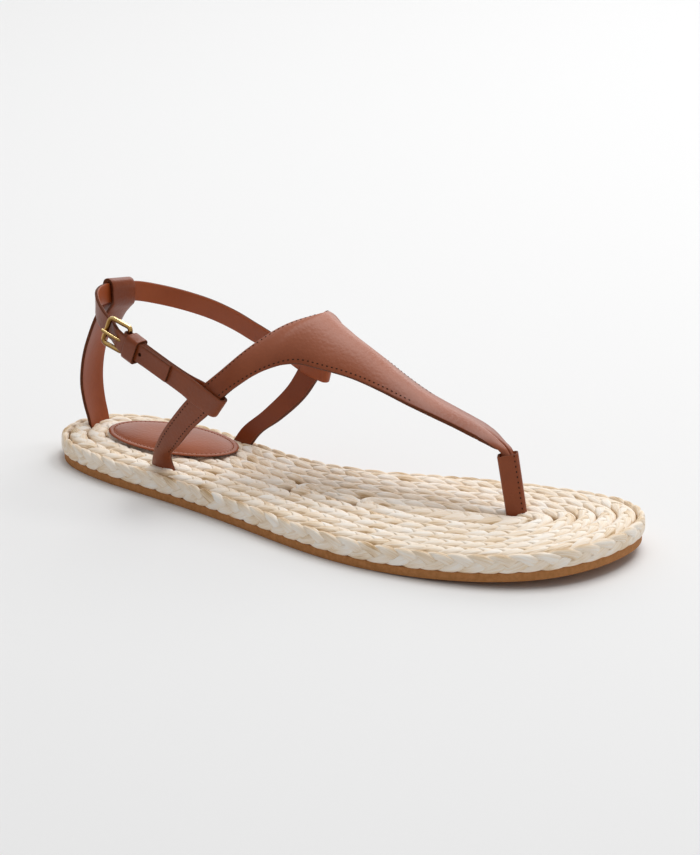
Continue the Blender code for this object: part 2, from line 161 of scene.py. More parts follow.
# %% [markdown]
# The studio is a pale floor under a bright even sky. A wide lamp behind the sandal stands for a bright back wall, a
# small one near it draws the shine along the edges of the straps, and a soft square one overhead gives the instep its
# sheen. All three face the sandal. The floor is staged, so it isn't part of the sandal.

# %% Floor and light
FLOOR_SIZE, FLOOR_GREY, SKY_STRENGTH = 12.0, 0.80, 0.42
LAMP_AIM = Vector((0.0, 0.0, 0.03))
LAMPS = {  # place, size and power
    "back_wall": ((-1.2, 1.9, 0.85), (3.0, 1.6), 15.0),
    "back_lamp": ((-0.2, 1.5, 1.1), (0.9, 0.9), 5.0),
    "top_lamp": ((0.26, 0.48, 1.68), (1.25, 1.25), 20.0),
}

clear()
bpy.ops.mesh.primitive_plane_add(size=FLOOR_SIZE, location=(0.0, 0.0, 0.0))
floor = added("floor")
floor_look = bpy.data.materials.new("pale_floor")
floor_look.use_nodes = True
floor_skin = floor_look.node_tree.nodes["Principled BSDF"].inputs
floor_skin["Base Color"].default_value = (FLOOR_GREY, FLOOR_GREY, FLOOR_GREY, 1.0)
floor_skin["Roughness"].default_value = 0.9
floor_skin["Specular IOR Level"].default_value = 0.1
floor.data.materials.append(floor_look)

for lamp_name, (lamp_place, lamp_size, power) in LAMPS.items():
    lamp_turn = (LAMP_AIM - Vector(lamp_place)).to_track_quat("-Z", "Y").to_euler()
    bpy.ops.object.light_add(type="AREA", location=lamp_place, rotation=lamp_turn)
    light = added(lamp_name).data
    light.shape = "RECTANGLE"
    light.size, light.size_y = lamp_size
    light.energy = power

sky = bpy.data.worlds.new("studio")
sky.use_nodes = True
sky_shader = sky.node_tree.nodes["Background"].inputs
sky_shader["Color"].default_value = (1.0, 1.0, 1.0, 1.0)
sky_shader["Strength"].default_value = SKY_STRENGTH
bpy.context.scene.world = sky
bpy.context.scene.view_settings.view_transform = "Standard"

# %% [markdown]
# Materials are networks of nodes, which are slow to read as a list of links. One small class holds a socket, and sums
# and products of two of them add the Math nodes, so that a finish reads as a formula. Every other node comes from
# its one method, which takes the node's kind, its settings and what goes into its sockets.

# %% Shader formulas
class Wire:
    """A socket of a material's nodes. Formulas of wires become Math nodes."""

    def __init__(self, tree, socket=None):
        self.tree, self.socket = tree, socket

    def node(self, kind, settings, inputs, out=0):
        """Adds a node, with its settings first, and gives back one of its outputs."""
        made = self.tree.nodes.new("ShaderNode" + kind)
        for key, value in settings.items():
            if key == "stops":
                ramp = made.color_ramp.elements
                for spot in value[1:-1]:
                    ramp.new(spot[0])
                for stop, (place, colour) in zip(ramp, value):
                    stop.position, stop.color = place, (*colour, 1.0)
            else:
                setattr(made, key, value)
        for key, value in inputs.items():
            self.feed(made.inputs[key], value)
        return Wire(self.tree, made.outputs[out])

    def feed(self, socket, value):
        """Links a wire to a socket, or sets the socket to a value."""
        if isinstance(value, Wire):
            self.tree.links.new(value.socket, socket)
        else:
            socket.default_value = value

    def place(self):
        """Where a point of the surface lies on the object."""
        return self.node("TexCoord", {}, {}, "Object")

    def kept(self, name, out="Fac"):
        """What the mesh keeps at each point under a name."""
        return self.node("Attribute", {"attribute_name": name}, {}, out)

    def maths(self, operation, first, second):
        return self.node("Math", {"operation": operation}, {0: first, 1: second})

    def __add__(self, other):
        return self.maths("ADD", self, other)

    def __radd__(self, other):
        return self.maths("ADD", other, self)

    def __sub__(self, other):
        return self.maths("SUBTRACT", self, other)

    def __rsub__(self, other):
        return self.maths("SUBTRACT", other, self)

    def __mul__(self, other):
        return self.maths("MULTIPLY", self, other)

    def __rmul__(self, other):
        return self.maths("MULTIPLY", other, self)

    def noise(self, scale, detail=3.0, roughness=0.55):
        """Noise at this place, from 0 to 1."""
        return self.node("TexNoise", {}, {"Vector": self, "Scale": scale, "Detail": detail, "Roughness": roughness})

    def ramp(self, *stops):
        return self.node("ValToRGB", {"stops": stops}, {"Fac": self}, "Color")

    def blend(self, first, second):
        """Mixes two colours by this wire's value."""
        return self.node("Mix", {"data_type": "RGBA"}, {0: self, 6: first, 7: second}, 2)

    def bump(self, strength, depth_mm):
        return self.node("Bump", {}, {"Height": self, "Strength": strength, "Distance": depth_mm * MM}, "Normal")


def begin(name, **fixed):
    """A new material: a wire to start its formulas from, and its shader with the fixed values set."""
    look = bpy.data.materials.new(name)
    look.use_nodes = True
    skin = look.node_tree.nodes["Principled BSDF"]
    for key, value in fixed.items():
        skin.inputs[key.replace("_", " ")].default_value = value
    return look, Wire(look.node_tree), skin


def dress(start, skin, **varying):
    """Links what changes over the surface to the shader."""
    for key, value in varying.items():
        start.feed(skin.inputs[key.replace("_", " ")], value)


print("shader formulas are ready")

# %% [markdown]
# The leather is a smooth chestnut calf with a satin face. Close up it has a fine pebbled grain, soft cloudy changes
# of tone, and places where the finish is a little duller. All three come from noise in the object's own place, so the
# pattern doesn't slide when the sandal is turned. The linings are the same hide, smoother, and the pad's a little
# lighter. The vamp's own lining is darker, as painted shade for its inner wing under the vamp. Where the vamp is pulled
# over its ridge the hide is paler, partly as pulled leather is and partly as a painted sheen. Its mesh keeps how far,
# and other pieces have none of it.

# %% Leather finishes
# Paler tone where the vamp is pulled over its ridge: partly pulled leather, partly painted sheen.
PULLED_PALE_AND_SHEEN = (0.40, 0.132, 0.070, 1.0)
CLOUD_SCALE, PEBBLE_SCALE, PORE_SCALE = 45.0, 800.0, 2600.0


def leather(name, dark, light, rough, grain_depth):
    """A hide between two tones, with its roughness and the depth of its grain in millimetres."""
    look, start, skin = begin(name, IOR=1.47, Specular_IOR_Level=0.45)
    place = start.place()
    clouds, pores = place.noise(CLOUD_SCALE, 4.0), place.noise(PORE_SCALE, 2.0)
    pebbles = place.node("TexVoronoi", {"feature": "SMOOTH_F1"},
                         {"Vector": place, "Scale": PEBBLE_SCALE, "Smoothness": 0.6})
    hide = (clouds * 0.8 + pores * 0.2).ramp((0.30, dark), (0.70, light))
    # How far the vamp is pulled sets how pale it is: pulled leather and painted sheen along the ridge.
    pulled = start.kept("pull") * (clouds * 0.5 + 0.75)
    dress(start, skin, Base_Color=pulled.blend(hide, PULLED_PALE_AND_SHEEN),
          Roughness=clouds * 0.16 + pores * 0.08 + (rough - 0.12),
          Normal=(pebbles * -0.8 + pores * 0.35).bump(0.55, grain_depth))
    return look


CALF = leather("calf_leather", (0.175, 0.033, 0.005), (0.255, 0.054, 0.011), 0.40, 0.17)
LINING = leather("calf_lining", (0.285, 0.056, 0.011), (0.37, 0.082, 0.019), 0.38, 0.08)
PAD_LEATHER = leather("pad_leather", (0.23, 0.044, 0.006), (0.31, 0.068, 0.013), 0.43, 0.15)
# A darker copy of the lining for the vamp's inside: painted shade for its inner wing under the vamp.
SHADED_VAMP_LINING = leather("shaded_vamp_lining", (0.19, 0.036, 0.007), (0.265, 0.055, 0.012), 0.40, 0.08)
print("leathers:", CALF.name, LINING.name, PAD_LEATHER.name, SHADED_VAMP_LINING.name)

# %% [markdown]
# The plain finishes are one formula. Cut edges of such straps are sealed with a darker paint. The upper is sewn with a
# dark thread and the pad with a lighter one. The rubber is as plain, and so is the darker straw under the plaits, which
# is painted shade for the gaps between them. A little noise keeps them all from looking printed.

# %% Edge paint and thread
def plain_finish(name, dark, light, rough, scale, depth):
    """A dull finish between two tones, with the scale of its specks and their depth in millimetres."""
    look, start, skin = begin(name, IOR=1.45, Specular_IOR_Level=0.15)
    specks = start.place().noise(scale, 3.0)
    dress(start, skin, Base_Color=specks.ramp((0.3, dark), (0.7, light)), Roughness=specks * 0.2 + (rough - 0.1),
          Normal=specks.bump(0.4, depth))
    return look


EDGE_PAINT = plain_finish("edge_paint", (0.080, 0.020, 0.007), (0.135, 0.037, 0.013), 0.65, 900.0, 0.05)
THREAD = plain_finish("sewing_thread", (0.030, 0.010, 0.005), (0.055, 0.018, 0.009), 0.7, 5000.0, 0.05)
PAD_THREAD = plain_finish("pad_thread", (0.31, 0.105, 0.050), (0.42, 0.165, 0.090), 0.7, 5000.0, 0.05)
RUBBER = plain_finish("tan_rubber", (0.37, 0.158, 0.050), (0.49, 0.220, 0.082), 0.72, 700.0, 0.08)
# Dark straw for the core: painted shade in the gaps between the plaits.
SHADED_STRAW = plain_finish("shaded_straw", (0.20, 0.115, 0.050), (0.33, 0.210, 0.105), 0.85, 500.0, 0.2)
print("plain finishes:", EDGE_PAINT.name, THREAD.name, PAD_THREAD.name, RUBBER.name, SHADED_STRAW.name)

# %% [markdown]
# The buckle is small polished gold-coloured metal. So thin a wire shows a bright room above it and a dark one below,
# and that reflection is painted into its tone, which follows how far its surface faces up and holds from every side.
# A faint noise in its tone and roughness stands for handling marks, and keeps the highlights from looking like chrome.

# %% Polished metal
BRASS, brass_start, brass_skin = begin("polished_brass", Metallic=1.0)
handling = brass_start.place().noise(600.0, 4.0)
facing = brass_start.node("TexCoord", {}, {}, "Normal")
painted_reflection_up = brass_start.node("SeparateXYZ", {}, {"Vector": facing}, "Z")
# Painted reflection: lighter where the wire faces up, dark where it faces down.
brass_colour_and_reflection = (painted_reflection_up * 0.5 + handling * 0.06).ramp(
    (0.0, (0.18, 0.085, 0.022)), (0.18, (0.84, 0.52, 0.17)), (0.42, (1.0, 0.76, 0.37)))
dress(brass_start, brass_skin, Base_Color=brass_colour_and_reflection, Roughness=handling * 0.16 + 0.08)
print("metal:", BRASS.name)

# %% [markdown]
# Straw is a bundle of dry leaf strips. Its fibres run along each strand, so the noise is stretched along a place that
# is kept on the mesh as if the strand were pulled straight: distance along it, then two across. A second attribute
# gives each stretch of strand its own tone, from bleached cream to gold, and holds painted shade as well: strand edges
# are darker, partly from their folds and partly as shade in the seams, row edges are darker as shade in the crevices
# between rows, and the upright rim is a little darker as shade on the sole's side. The ramp's dark lowest stop is that
# painted shade.

# %% Straw
STRAW, straw_start, straw_skin = begin("straw", Specular_IOR_Level=0.35)
straight, tone = straw_start.kept("strand", "Vector"), straw_start.kept("tone")
fibre_place = straight.node("Mapping", {}, {"Vector": straight, "Scale": (0.10, 1.5, 1.5)})
strip_place = straight.node("Mapping", {}, {"Vector": straight, "Scale": (0.05, 0.55, 0.55)})
fibres = fibre_place.noise(1.6, 4.0, 0.65)
strips = strip_place.noise(1.4, 2.0)
# The ramp's dark lowest stop is painted shade for the seams, crevices and rim.
straw_colour_and_shade = (fibres * 0.6 + strips * 0.45 + tone * 0.45 - 0.05).ramp(
    (0.20, (0.26, 0.155, 0.070)), (0.36, (0.56, 0.37, 0.19)), (0.52, (0.83, 0.66, 0.47)), (0.68, (0.93, 0.81, 0.67)),
    (0.92, (0.96, 0.91, 0.84)))
dress(straw_start, straw_skin, Base_Color=straw_colour_and_shade, Roughness=fibres * 0.3 + 0.5,
      Normal=(fibres * 0.7 + strips * 0.9).bump(0.8, 0.38))
print("straw:", STRAW.name)

# %% [markdown]
# The sole's outline is drawn through a few measured widths, as a pattern cutter would, with a smooth curve between
# them. From the ball on, the sole rises a little to the toe. Both are the same as in the solids.

# %% Outline of the sole
OUTLINE = (
    (2.5, -5.5, 15.8), (8.0, -13.0, 22.4), (16.0, -19.0, 26.4), (27.0, -23.3, 28.8), (40.0, -26.4, 29.4),
    (58.0, -29.0, 27.8), (78.0, -31.5, 23.5), (98.0, -34.6, 20.3), (112.0, -37.3, 20.2), (128.0, -40.8, 23.0),
    (145.0, -44.2, 29.7), (160.0, -46.2, 36.3), (178.0, -46.5, 42.6), (196.0, -44.4, 45.8),
    (212.0, -40.5, 46.8), (225.0, -35.3, 45.2), (235.0, -28.7, 40.4), (243.0, -19.5, 32.8), (248.0, -8.0, 22.5),
)
HEEL_TIP, TOE_TIP = (0.0, 5.5), (250.0, 7.0)
SPRING_START, SPRING_RISE, LENGTH = 165.0, 4.3, 250.0
RIM_STEPS, RIM_POINTS, OVERLAP = 24, 900, 3


def spring(x):
    """Lift of the sole towards the toe."""
    return SPRING_RISE * np.clip((np.asarray(x) - SPRING_START) / (LENGTH - SPRING_START), 0.0, None) ** 2


def smooth_rows(rows, per):
    """Cubic curve through the rows, with the same number of steps between each two of them."""
    rows = np.array(rows, float)
    at = np.concatenate([[0.0], np.cumsum(np.linalg.norm(np.diff(rows[:, :3], axis=0), axis=1))])
    slope = np.gradient(rows, at, axis=0)
    out = []
    for k in range(len(rows) - 1):
        h = at[k + 1] - at[k]
        for t in np.arange(per) / per:
            out.append((2 * t**3 - 3 * t**2 + 1) * rows[k] + (t**3 - 2 * t**2 + t) * h * slope[k]
                       + (3 * t**2 - 2 * t**3) * rows[k + 1] + (t**3 - t**2) * h * slope[k + 1])
    return np.array(out + [rows[-1]])


def even_steps(line, count, closed):
    """The same line with points at equal distances, and its length."""
    line = np.vstack([line, line[:1]]) if closed else np.asarray(line)
    at = np.concatenate([[0.0], np.cumsum(np.linalg.norm(np.diff(line, axis=0), axis=1))])
    spots = np.linspace(0.0, at[-1], count, endpoint=not closed)
    return np.stack([np.interp(spots, at, line[:, k]) for k in range(line.shape[1])], axis=1), at[-1]


corners = ([HEEL_TIP] + [(x, outer) for x, outer, _ in OUTLINE] + [TOE_TIP]
           + [(x, inner) for x, _, inner in OUTLINE[::-1]])
wrapped = np.array(corners[-OVERLAP:] + corners + corners[:OVERLAP + 1])
rim_line = smooth_rows(np.c_[wrapped, np.zeros(len(wrapped))], RIM_STEPS)
RIM, rim_length = even_steps(rim_line[OVERLAP * RIM_STEPS:-OVERLAP * RIM_STEPS - 1, :2], RIM_POINTS, True)
print("the rim is", round(rim_length), "mm long")

# %% [markdown]
# The rows of straw lie at even steps inside the rim. A point stepped inwards counts only if no other part of the rim
# is nearer, which leaves whole rings near the rim and, further in, a shorter ring that ends before the waist. The
# ends of such a ring are rounded by averaging neighbours.

# %% Lines inside the outline
NEAR_ENOUGH, FEWEST_POINTS, POINT_SHARE, ROUNDINGS = 0.06, 24, 0.9, 12


def unit(v):
    """Directions of length one."""
    v = np.asarray(v, float)
    return v / np.linalg.norm(v, axis=-1, keepdims=True)


def inset_line(depth, room=0.0, x_from=-1.0):
    """Closed line at one depth inside the rim, where there is room for it."""
    way = unit(np.roll(RIM, -1, 0) - np.roll(RIM, 1, 0))
    into = np.c_[-way[:, 1], way[:, 0]]
    deep = RIM + into * (depth + room)
    gaps = np.min(np.hypot(deep[:, None, 0] - RIM[None, :, 0], deep[:, None, 1] - RIM[None, :, 1]), axis=1)
    line = (RIM + into * depth)[(gaps > depth + room - NEAR_ENOUGH) & (deep[:, 0] > x_from)]
    line, _ = even_steps(line, max(FEWEST_POINTS, int(len(line) * POINT_SHARE)), True)
    for _ in range(ROUNDINGS):
        line = 0.5 * line + 0.25 * (np.roll(line, 1, 0) + np.roll(line, -1, 0))
    return line


print("third row is", round(even_steps(inset_line(19.0), 200, True)[1]), "mm long")

# %% [markdown]
# The outsole is a thin sheet of tan rubber, cut a little smaller than the straw. It starts as a circle that is pushed
# into the outline, filled and extruded. Cuts across the toe part let it bend up with the toe spring, and a small
# bevel softens its lower edge. The core under the plaits is made the same way and only closes the gaps between them.

# %% Outsole and core
OUTSOLE_THICK, OUTSOLE_INSET, OUTSOLE_EASE = 3.3, 1.1, 0.7
CORE_INSET, CORE_TOP, CORE_EASE = 2.4, 8.0, 0.8
SLAB_POINTS, BEND_STEP = 360, 5.0
EASE_STEPS, SHARP = 3, math.radians(50)


def eased(obj, width):
    """Rounds the sharp edges of a piece with a bevel."""
    bevel = obj.modifiers.new("eased", "BEVEL")
    bevel.width, bevel.segments = width * MM, EASE_STEPS
    bevel.limit_method, bevel.angle_limit = "ANGLE", SHARP


def slab(name, inset, low, high, ease):
    """A sheet in the sole's outline that bends up with the toe."""
    line, _ = even_steps(inset_line(inset), SLAB_POINTS, True)
    clear()
    bpy.ops.mesh.primitive_circle_add(vertices=len(line), fill_type="NGON")
    obj = added(name)
    lay(obj, np.c_[line, np.full(len(line), low)])
    edit(obj)
    bpy.ops.mesh.extrude_region_move(TRANSFORM_OT_translate={"value": (0.0, 0.0, (high - low) * MM)})
    for x in np.arange(SPRING_START, LENGTH, BEND_STEP):
        bpy.ops.mesh.select_all(action="SELECT")
        bpy.ops.mesh.bisect(plane_co=metres((x, 0.0, 0.0)), plane_no=(1.0, 0.0, 0.0))
    done()
    for vert in obj.data.vertices:
        vert.co.z += float(spring(vert.co.x / MM - HEEL[0])) * MM
    eased(obj, ease)
    return apply_all(obj)


put_on(slab("rubber_outsole", OUTSOLE_INSET, 0.0, OUTSOLE_THICK, OUTSOLE_EASE), "rubber", ["outsole"], RUBBER)
# The core's darker straw is painted shade between the plaits.
put_on(slab("braid_core", CORE_INSET, OUTSOLE_THICK, CORE_TOP, CORE_EASE), "straw", ["braid_sole"], SHADED_STRAW)

# %% [markdown]
# All the straw is one kind of flat plait of three strands. On the rim it stands on its edge and shows its herringbone
# face, and on top it lies flat in rows. No straw is even, so a few seeded waves of odd lengths are added up, which
# shift the place, size and tone of a strand a little. They close on themselves, as most rows do.

# %% Size and unevenness of a plait
PLAIT_WAVE, PLAIT_WIDE = 22.2, 7.0
RIM_THICK, ROW_THICK = 2.9, 4.2
RIM_SQUARE, ROW_SQUARE = 2.8, 2.1
RING_STEP, RING_POINTS = 0.8, 16
WAVES_ADDED, WAVES_SHARE = 5, 1.6
chance = np.random.default_rng(11)


def wobble(length, size):
    """Smooth seeded unevenness along a line of some length, which closes on itself."""
    turns = np.maximum(1, np.round(length / size * chance.uniform(0.5, 1.5, WAVES_ADDED)))
    starts = chance.uniform(0.0, math.tau, WAVES_ADDED)
    return lambda s: sum(np.sin(math.tau * t * s / length + a) for t, a in zip(turns, starts)) / WAVES_SHARE


print("a strand crosses the plait every", PLAIT_WAVE / 2, "mm")

# %% [markdown]
# Across the plait a strand weaves from edge to edge once in a wave, and it goes over and under twice; the next two
# strands do the same a third of a wave later. That is a formula, so the strands are built as rings of points along it,
# because no modelling operator weaves. Last, every point is pressed softly into the rounded section that the row
# leaves for it, as the sole is pressed when it is made.

# %% One strand of a plait
SWING, WEAVE, PRESS_FROM = 0.60, 0.38, 0.84
STRAND_THICK, STRAND_BROAD, STRAND_BOX, TURN_NARROW = 0.86, 0.55, 0.6, 0.24
SWAY, DRIFT, SWELL = 0.35, 0.12, 0.06
DRIFT_SIZE, THICK_SIZE, BROAD_SIZE, TONE_SIZE = 25.0, 8.0, 9.0, 16.0
END_FADE, END_THINNEST = 6.0, 0.02
TONE, TONE_ALONG, TONE_EACH = 0.52, 0.16, 0.10
# Strand edges are darker partly from their folds and partly as painted shade; row edges are darker as painted shade.
STRAND_EDGE_FOLD_AND_SHADE, ROW_EDGE_PAINTED_SHADE = 0.18, 0.34
STRAW_LENGTH = 700.0


def pressed(across, over, half_wide, half_thick, square):
    """Squeezes points of a plait's section into the rounded section that its row leaves for it."""
    far = (np.abs(across) / half_wide) ** square + (np.abs(over) / half_thick) ** square
    far = np.maximum(far ** (1 / square), 1e-6)
    room = 1.0 - PRESS_FROM
    held = np.where(far > PRESS_FROM, PRESS_FROM + room * np.tanh((far - PRESS_FROM) / room), far)
    return across * held / far, over * held / far


def turned(line, closed):
    """Unit directions along a line."""
    way = np.roll(line, -1, 0) - np.roll(line, 1, 0)
    if not closed:
        way[0], way[-1] = line[1] - line[0], line[-1] - line[-2]
    return unit(way)


def boxed(wave):
    """A circle's sine or cosine, made squarer."""
    return np.sign(wave) * np.abs(wave) ** STRAND_BOX


def strand(line, wide, face, s, length, share, closed, half_wide, half_thick, square, sway):
    """One strand of a plait: its rings of points, the same pulled straight, and its tone with painted edge shade."""
    waves = max(1, round(length / PLAIT_WAVE))
    phase = math.tau * (waves * s / length + share) + SWAY * sway(s)
    to_end = np.full_like(s, END_FADE) if closed else np.minimum(s, length - s)
    fade = np.clip(to_end / END_FADE, END_THINNEST, 1.0) ** 0.5
    across = SWING * half_wide * fade * np.sin(phase) + DRIFT * wobble(length, DRIFT_SIZE)(s)
    over = -WEAVE * half_thick * fade * np.sin(2 * phase)
    centre = line + wide * across[:, None] + face * over[:, None]
    along = turned(centre, closed)
    flat = unit(face - along * np.sum(face * along, axis=1)[:, None])
    broad = np.cross(along, flat)
    turn = np.arange(RING_POINTS) * math.tau / RING_POINTS
    thick = STRAND_THICK * half_thick * fade * (1.0 + SWELL * wobble(length, THICK_SIZE)(s))
    narrow = 1.0 - TURN_NARROW * np.sin(phase) ** 2
    half = STRAND_BROAD * half_wide * narrow * fade * (1.0 + SWELL * wobble(length, BROAD_SIZE)(s))
    lift = thick[:, None] * boxed(np.sin(turn))
    reach = half[:, None] * boxed(np.cos(turn))
    off = flat[:, None] * lift[:, :, None] + broad[:, None] * reach[:, :, None]
    old_wide = across[:, None] + np.sum(off * wide[:, None], axis=2)
    old_face = over[:, None] + np.sum(off * face[:, None], axis=2)
    new_wide, new_face = pressed(old_wide, old_face, half_wide[:, None], half_thick, square)
    rings = (centre[:, None] + off + wide[:, None] * (new_wide - old_wide)[:, :, None]
             + face[:, None] * (new_face - old_face)[:, :, None])
    start = STRAW_LENGTH * chance.uniform()
    pulled_out = np.stack([np.broadcast_to(s[:, None], lift.shape) + start, reach, lift + 0.1 * start], axis=-1)
    tones = TONE + TONE_ALONG * wobble(length, TONE_SIZE)(s) + TONE_EACH * chance.normal()
    # Strand edges are darker: partly their folds, partly painted shade in the seams.
    tones = tones[:, None] - STRAND_EDGE_FOLD_AND_SHADE * np.abs(np.cos(turn)) ** 4
    # Row edges are darker: painted shade in the crevices between rows.
    return rings, pulled_out, tones - ROW_EDGE_PAINTED_SHADE * (np.abs(new_wide) / half_wide[:, None]) ** 8


print("a strand is", round(STRAND_THICK * ROW_THICK, 1), "mm thick before it is pressed")

# %% [markdown]
# The rings of all the strands of a few rows become one mesh. A row needs its line, the way across it and the way its
# face looks. A strand that runs round the sole closes on itself, and one that ends is capped at both ends.

# %% Weave rows into a piece
UP = np.array((0.0, 0.0, 1.0))
# The third is how much darker the upright rim is: painted shade on the sole's side.
STRANDS, SWAY_SIZE, RIM_PAINTED_SHADE, STRAW_SMOOTH = 3, 60.0, 0.05, 75.0


def built(name, points, faces):
    """A new object from its faces and points that are measured from the heel."""
    mesh = bpy.data.meshes.new(name)
    mesh.from_pydata(metres(points).tolist(), [], faces)
    obj = bpy.data.objects.new(name, mesh)
    bpy.context.scene.collection.objects.link(obj)
    return obj


def tube_faces(base, count, closed):
    """Faces of a tube of rings, which closes on itself or is capped at both ends."""
    i, j = np.meshgrid(np.arange(count if closed else count - 1), np.arange(RING_POINTS), indexing="ij")
    ring, next_ring = i * RING_POINTS, (i + 1) % count * RING_POINTS
    k = (j + 1) % RING_POINTS
    faces = (base + np.stack([ring + j, ring + k, next_ring + k, next_ring + j], -1).reshape(-1, 4)).tolist()
    if not closed:
        cap = range(base, base + RING_POINTS)
        faces += [list(cap), [(count - 1) * RING_POINTS + point for point in cap[::-1]]]
    return faces


def woven(name, rows):
    """Three strands along each row, as one piece that keeps their straight place, and tone with painted shade."""
    points, straightened, tones, faces, base = [], [], [], [], 0
    for line, closed, upright in rows:
        count = int(even_steps(line, 2, closed)[1] / RING_STEP)
        line, length = even_steps(line, count, closed)
        line, half_wide = line[:, :3], line[:, 3]
        s = np.linspace(0.0, length, count, endpoint=not closed)
        sway = wobble(length, SWAY_SIZE)
        way = turned(line[:, :2], closed)
        into = np.c_[-way[:, 1], way[:, 0], np.zeros(count)]
        upwards = np.broadcast_to(UP, into.shape)
        wide, face = (upwards, -into) if upright else (into, upwards)
        thick, square = (RIM_THICK, RIM_SQUARE) if upright else (ROW_THICK, ROW_SQUARE)
        for k in range(STRANDS):
            rings, pulled_out, shade = strand(line, wide, face, s, length, k / STRANDS, closed,
                                              half_wide, thick / 2, square, sway)
            points.append(rings.reshape(-1, 3))
            straightened.append(pulled_out.reshape(-1, 3))
            # The upright rim is a little darker: painted shade on the sole's side.
            tones.append(shade.ravel() - RIM_PAINTED_SHADE * upright)
            faces += tube_faces(base, count, closed)
            base += count * RING_POINTS
    obj = built(name, np.vstack(points), faces)
    for key, kind, field, values in (("strand", "FLOAT_VECTOR", "vector", np.vstack(straightened)),
                                     ("tone", "FLOAT", "value", np.concatenate(tones))):
        obj.data.attributes.new(key, kind, "POINT").data.foreach_set(field, values.astype(np.float32).ravel())
    edit(obj)
    done()
    return apply_all(obj, STRAW_SMOOTH)


print("rings are", RING_STEP, "mm apart, with", RING_POINTS, "points each")

# %% [markdown]
# The rim is a piece of its own, upright round the core. Three flat rows run right round the top, and shorter rings
# fill the forefoot. Straight rows fill the middle of the forefoot, and of the waist and heel, where a ring would be
# too narrow.

# %% Rows of the sole
RIM_MIDDLE, RIM_DEPTH = 6.5, 1.5
ROWS_FROM, ROW_PITCH, ROW_TOP = 3.2, 6.9, 10.4
SHORT_ROOM, SHORT_FROM = 2.6, 108.0
MIDDLE_ROWS = ((27.0, 119.5, 3), (125.0, 148.5, 4), (154.0, 214.0, 5))
MIDDLE_POINTS, MIDDLE_SMOOTHINGS, MIDDLE_HALF = 60, 8, (1.2, 6.0)
SEARCH = np.linspace(-12.0, 12.0, 97)


def row_line(flat_line, height, half_wide):
    """A row's line at its height, lifted towards the toe like the sole, with its half width beside it."""
    lifted = height + spring(flat_line[:, 0])
    return np.c_[flat_line, lifted, np.broadcast_to(half_wide, lifted.shape)]


def ring_row(k, room=0.0, x_from=-1.0):
    """One of the rows that run round inside the rim."""
    depth = ROWS_FROM + (k + 0.5) * ROW_PITCH
    return row_line(inset_line(depth, room, x_from), ROW_TOP - ROW_THICK / 2, PLAIT_WIDE / 2), True, False


def middle_row(x_from, x_to, rings):
    """Straight row that fills what so many rings leave open in the middle."""
    table = np.array(OUTLINE)
    x = np.linspace(x_from, x_to, MIDDLE_POINTS)
    middle = (np.interp(x, table[:, 0], table[:, 1]) + np.interp(x, table[:, 0], table[:, 2])) / 2
    y = middle[:, None] + SEARCH
    gaps = np.min(np.hypot(x[:, None, None] - RIM[:, 0], y[:, :, None] - RIM[:, 1]), axis=2)
    y = np.take_along_axis(y, np.argmax(gaps, axis=1)[:, None], axis=1)[:, 0]
    for _ in range(MIDDLE_SMOOTHINGS):
        y[1:-1] = 0.5 * y[1:-1] + 0.25 * (y[:-2] + y[2:])
    half_wide = np.clip(gaps.max(axis=1) - ROWS_FROM - rings * ROW_PITCH, *MIDDLE_HALF)
    return row_line(np.c_[x, y], ROW_TOP - ROW_THICK / 2, half_wide), False, False


SOLE_ROWS = {
    "rim_plait": [(row_line(inset_line(RIM_DEPTH), RIM_MIDDLE, PLAIT_WIDE / 2), True, True)],
    "round_plaits": [ring_row(k) for k in (0, 1, 2)],
    "forefoot_plaits": [ring_row(k, SHORT_ROOM, SHORT_FROM) for k in (3, 4)] + [middle_row(*m) for m in MIDDLE_ROWS],
}
for plait, plait_rows in SOLE_ROWS.items():
    put_on(woven(plait, plait_rows), "straw", ["braid_sole"], STRAW)

# %% [markdown]
# The heel pad is thin foam under leather, glued to the straw. It is an oval that is extruded to its edge height and
# then inset step by step for a flat margin and a sunken seam. Smaller and smaller extrusions raise the dome, and
# subdivision rounds it. Small thread stitches follow the seam later.

# %% Heel pad
PAD_BASE, PAD_EDGE, PAD_MARGIN, PAD_POINTS = 10.45, 1.35, 1.9, 72
SEAM_HALF, SEAM_SUNK, PAD_SOFT, PAD_SMOOTH = 0.45, 0.22, 2, 80.0
PAD_STEPS = ((PAD_MARGIN, 0.05), (SEAM_HALF, -SEAM_SUNK), (SEAM_HALF, SEAM_SUNK))
PAD_DOME = ((0.84, 0.95), (0.74, 0.70), (0.55, 0.35))
around, pad_turn = np.arange(PAD_POINTS) * math.tau / PAD_POINTS, math.radians(PAD_TURN)
oval = np.c_[PAD_HALF[0] * np.cos(around), PAD_HALF[1] * np.sin(around)]


def on_pad(flat, height):
    """Points of the pad's own flat pattern, turned and set on the heel."""
    x = PAD_AT[0] + flat[:, 0] * math.cos(pad_turn) - flat[:, 1] * math.sin(pad_turn)
    y = PAD_AT[1] + flat[:, 0] * math.sin(pad_turn) + flat[:, 1] * math.cos(pad_turn)
    return np.c_[x, y, np.full(len(flat), height)]


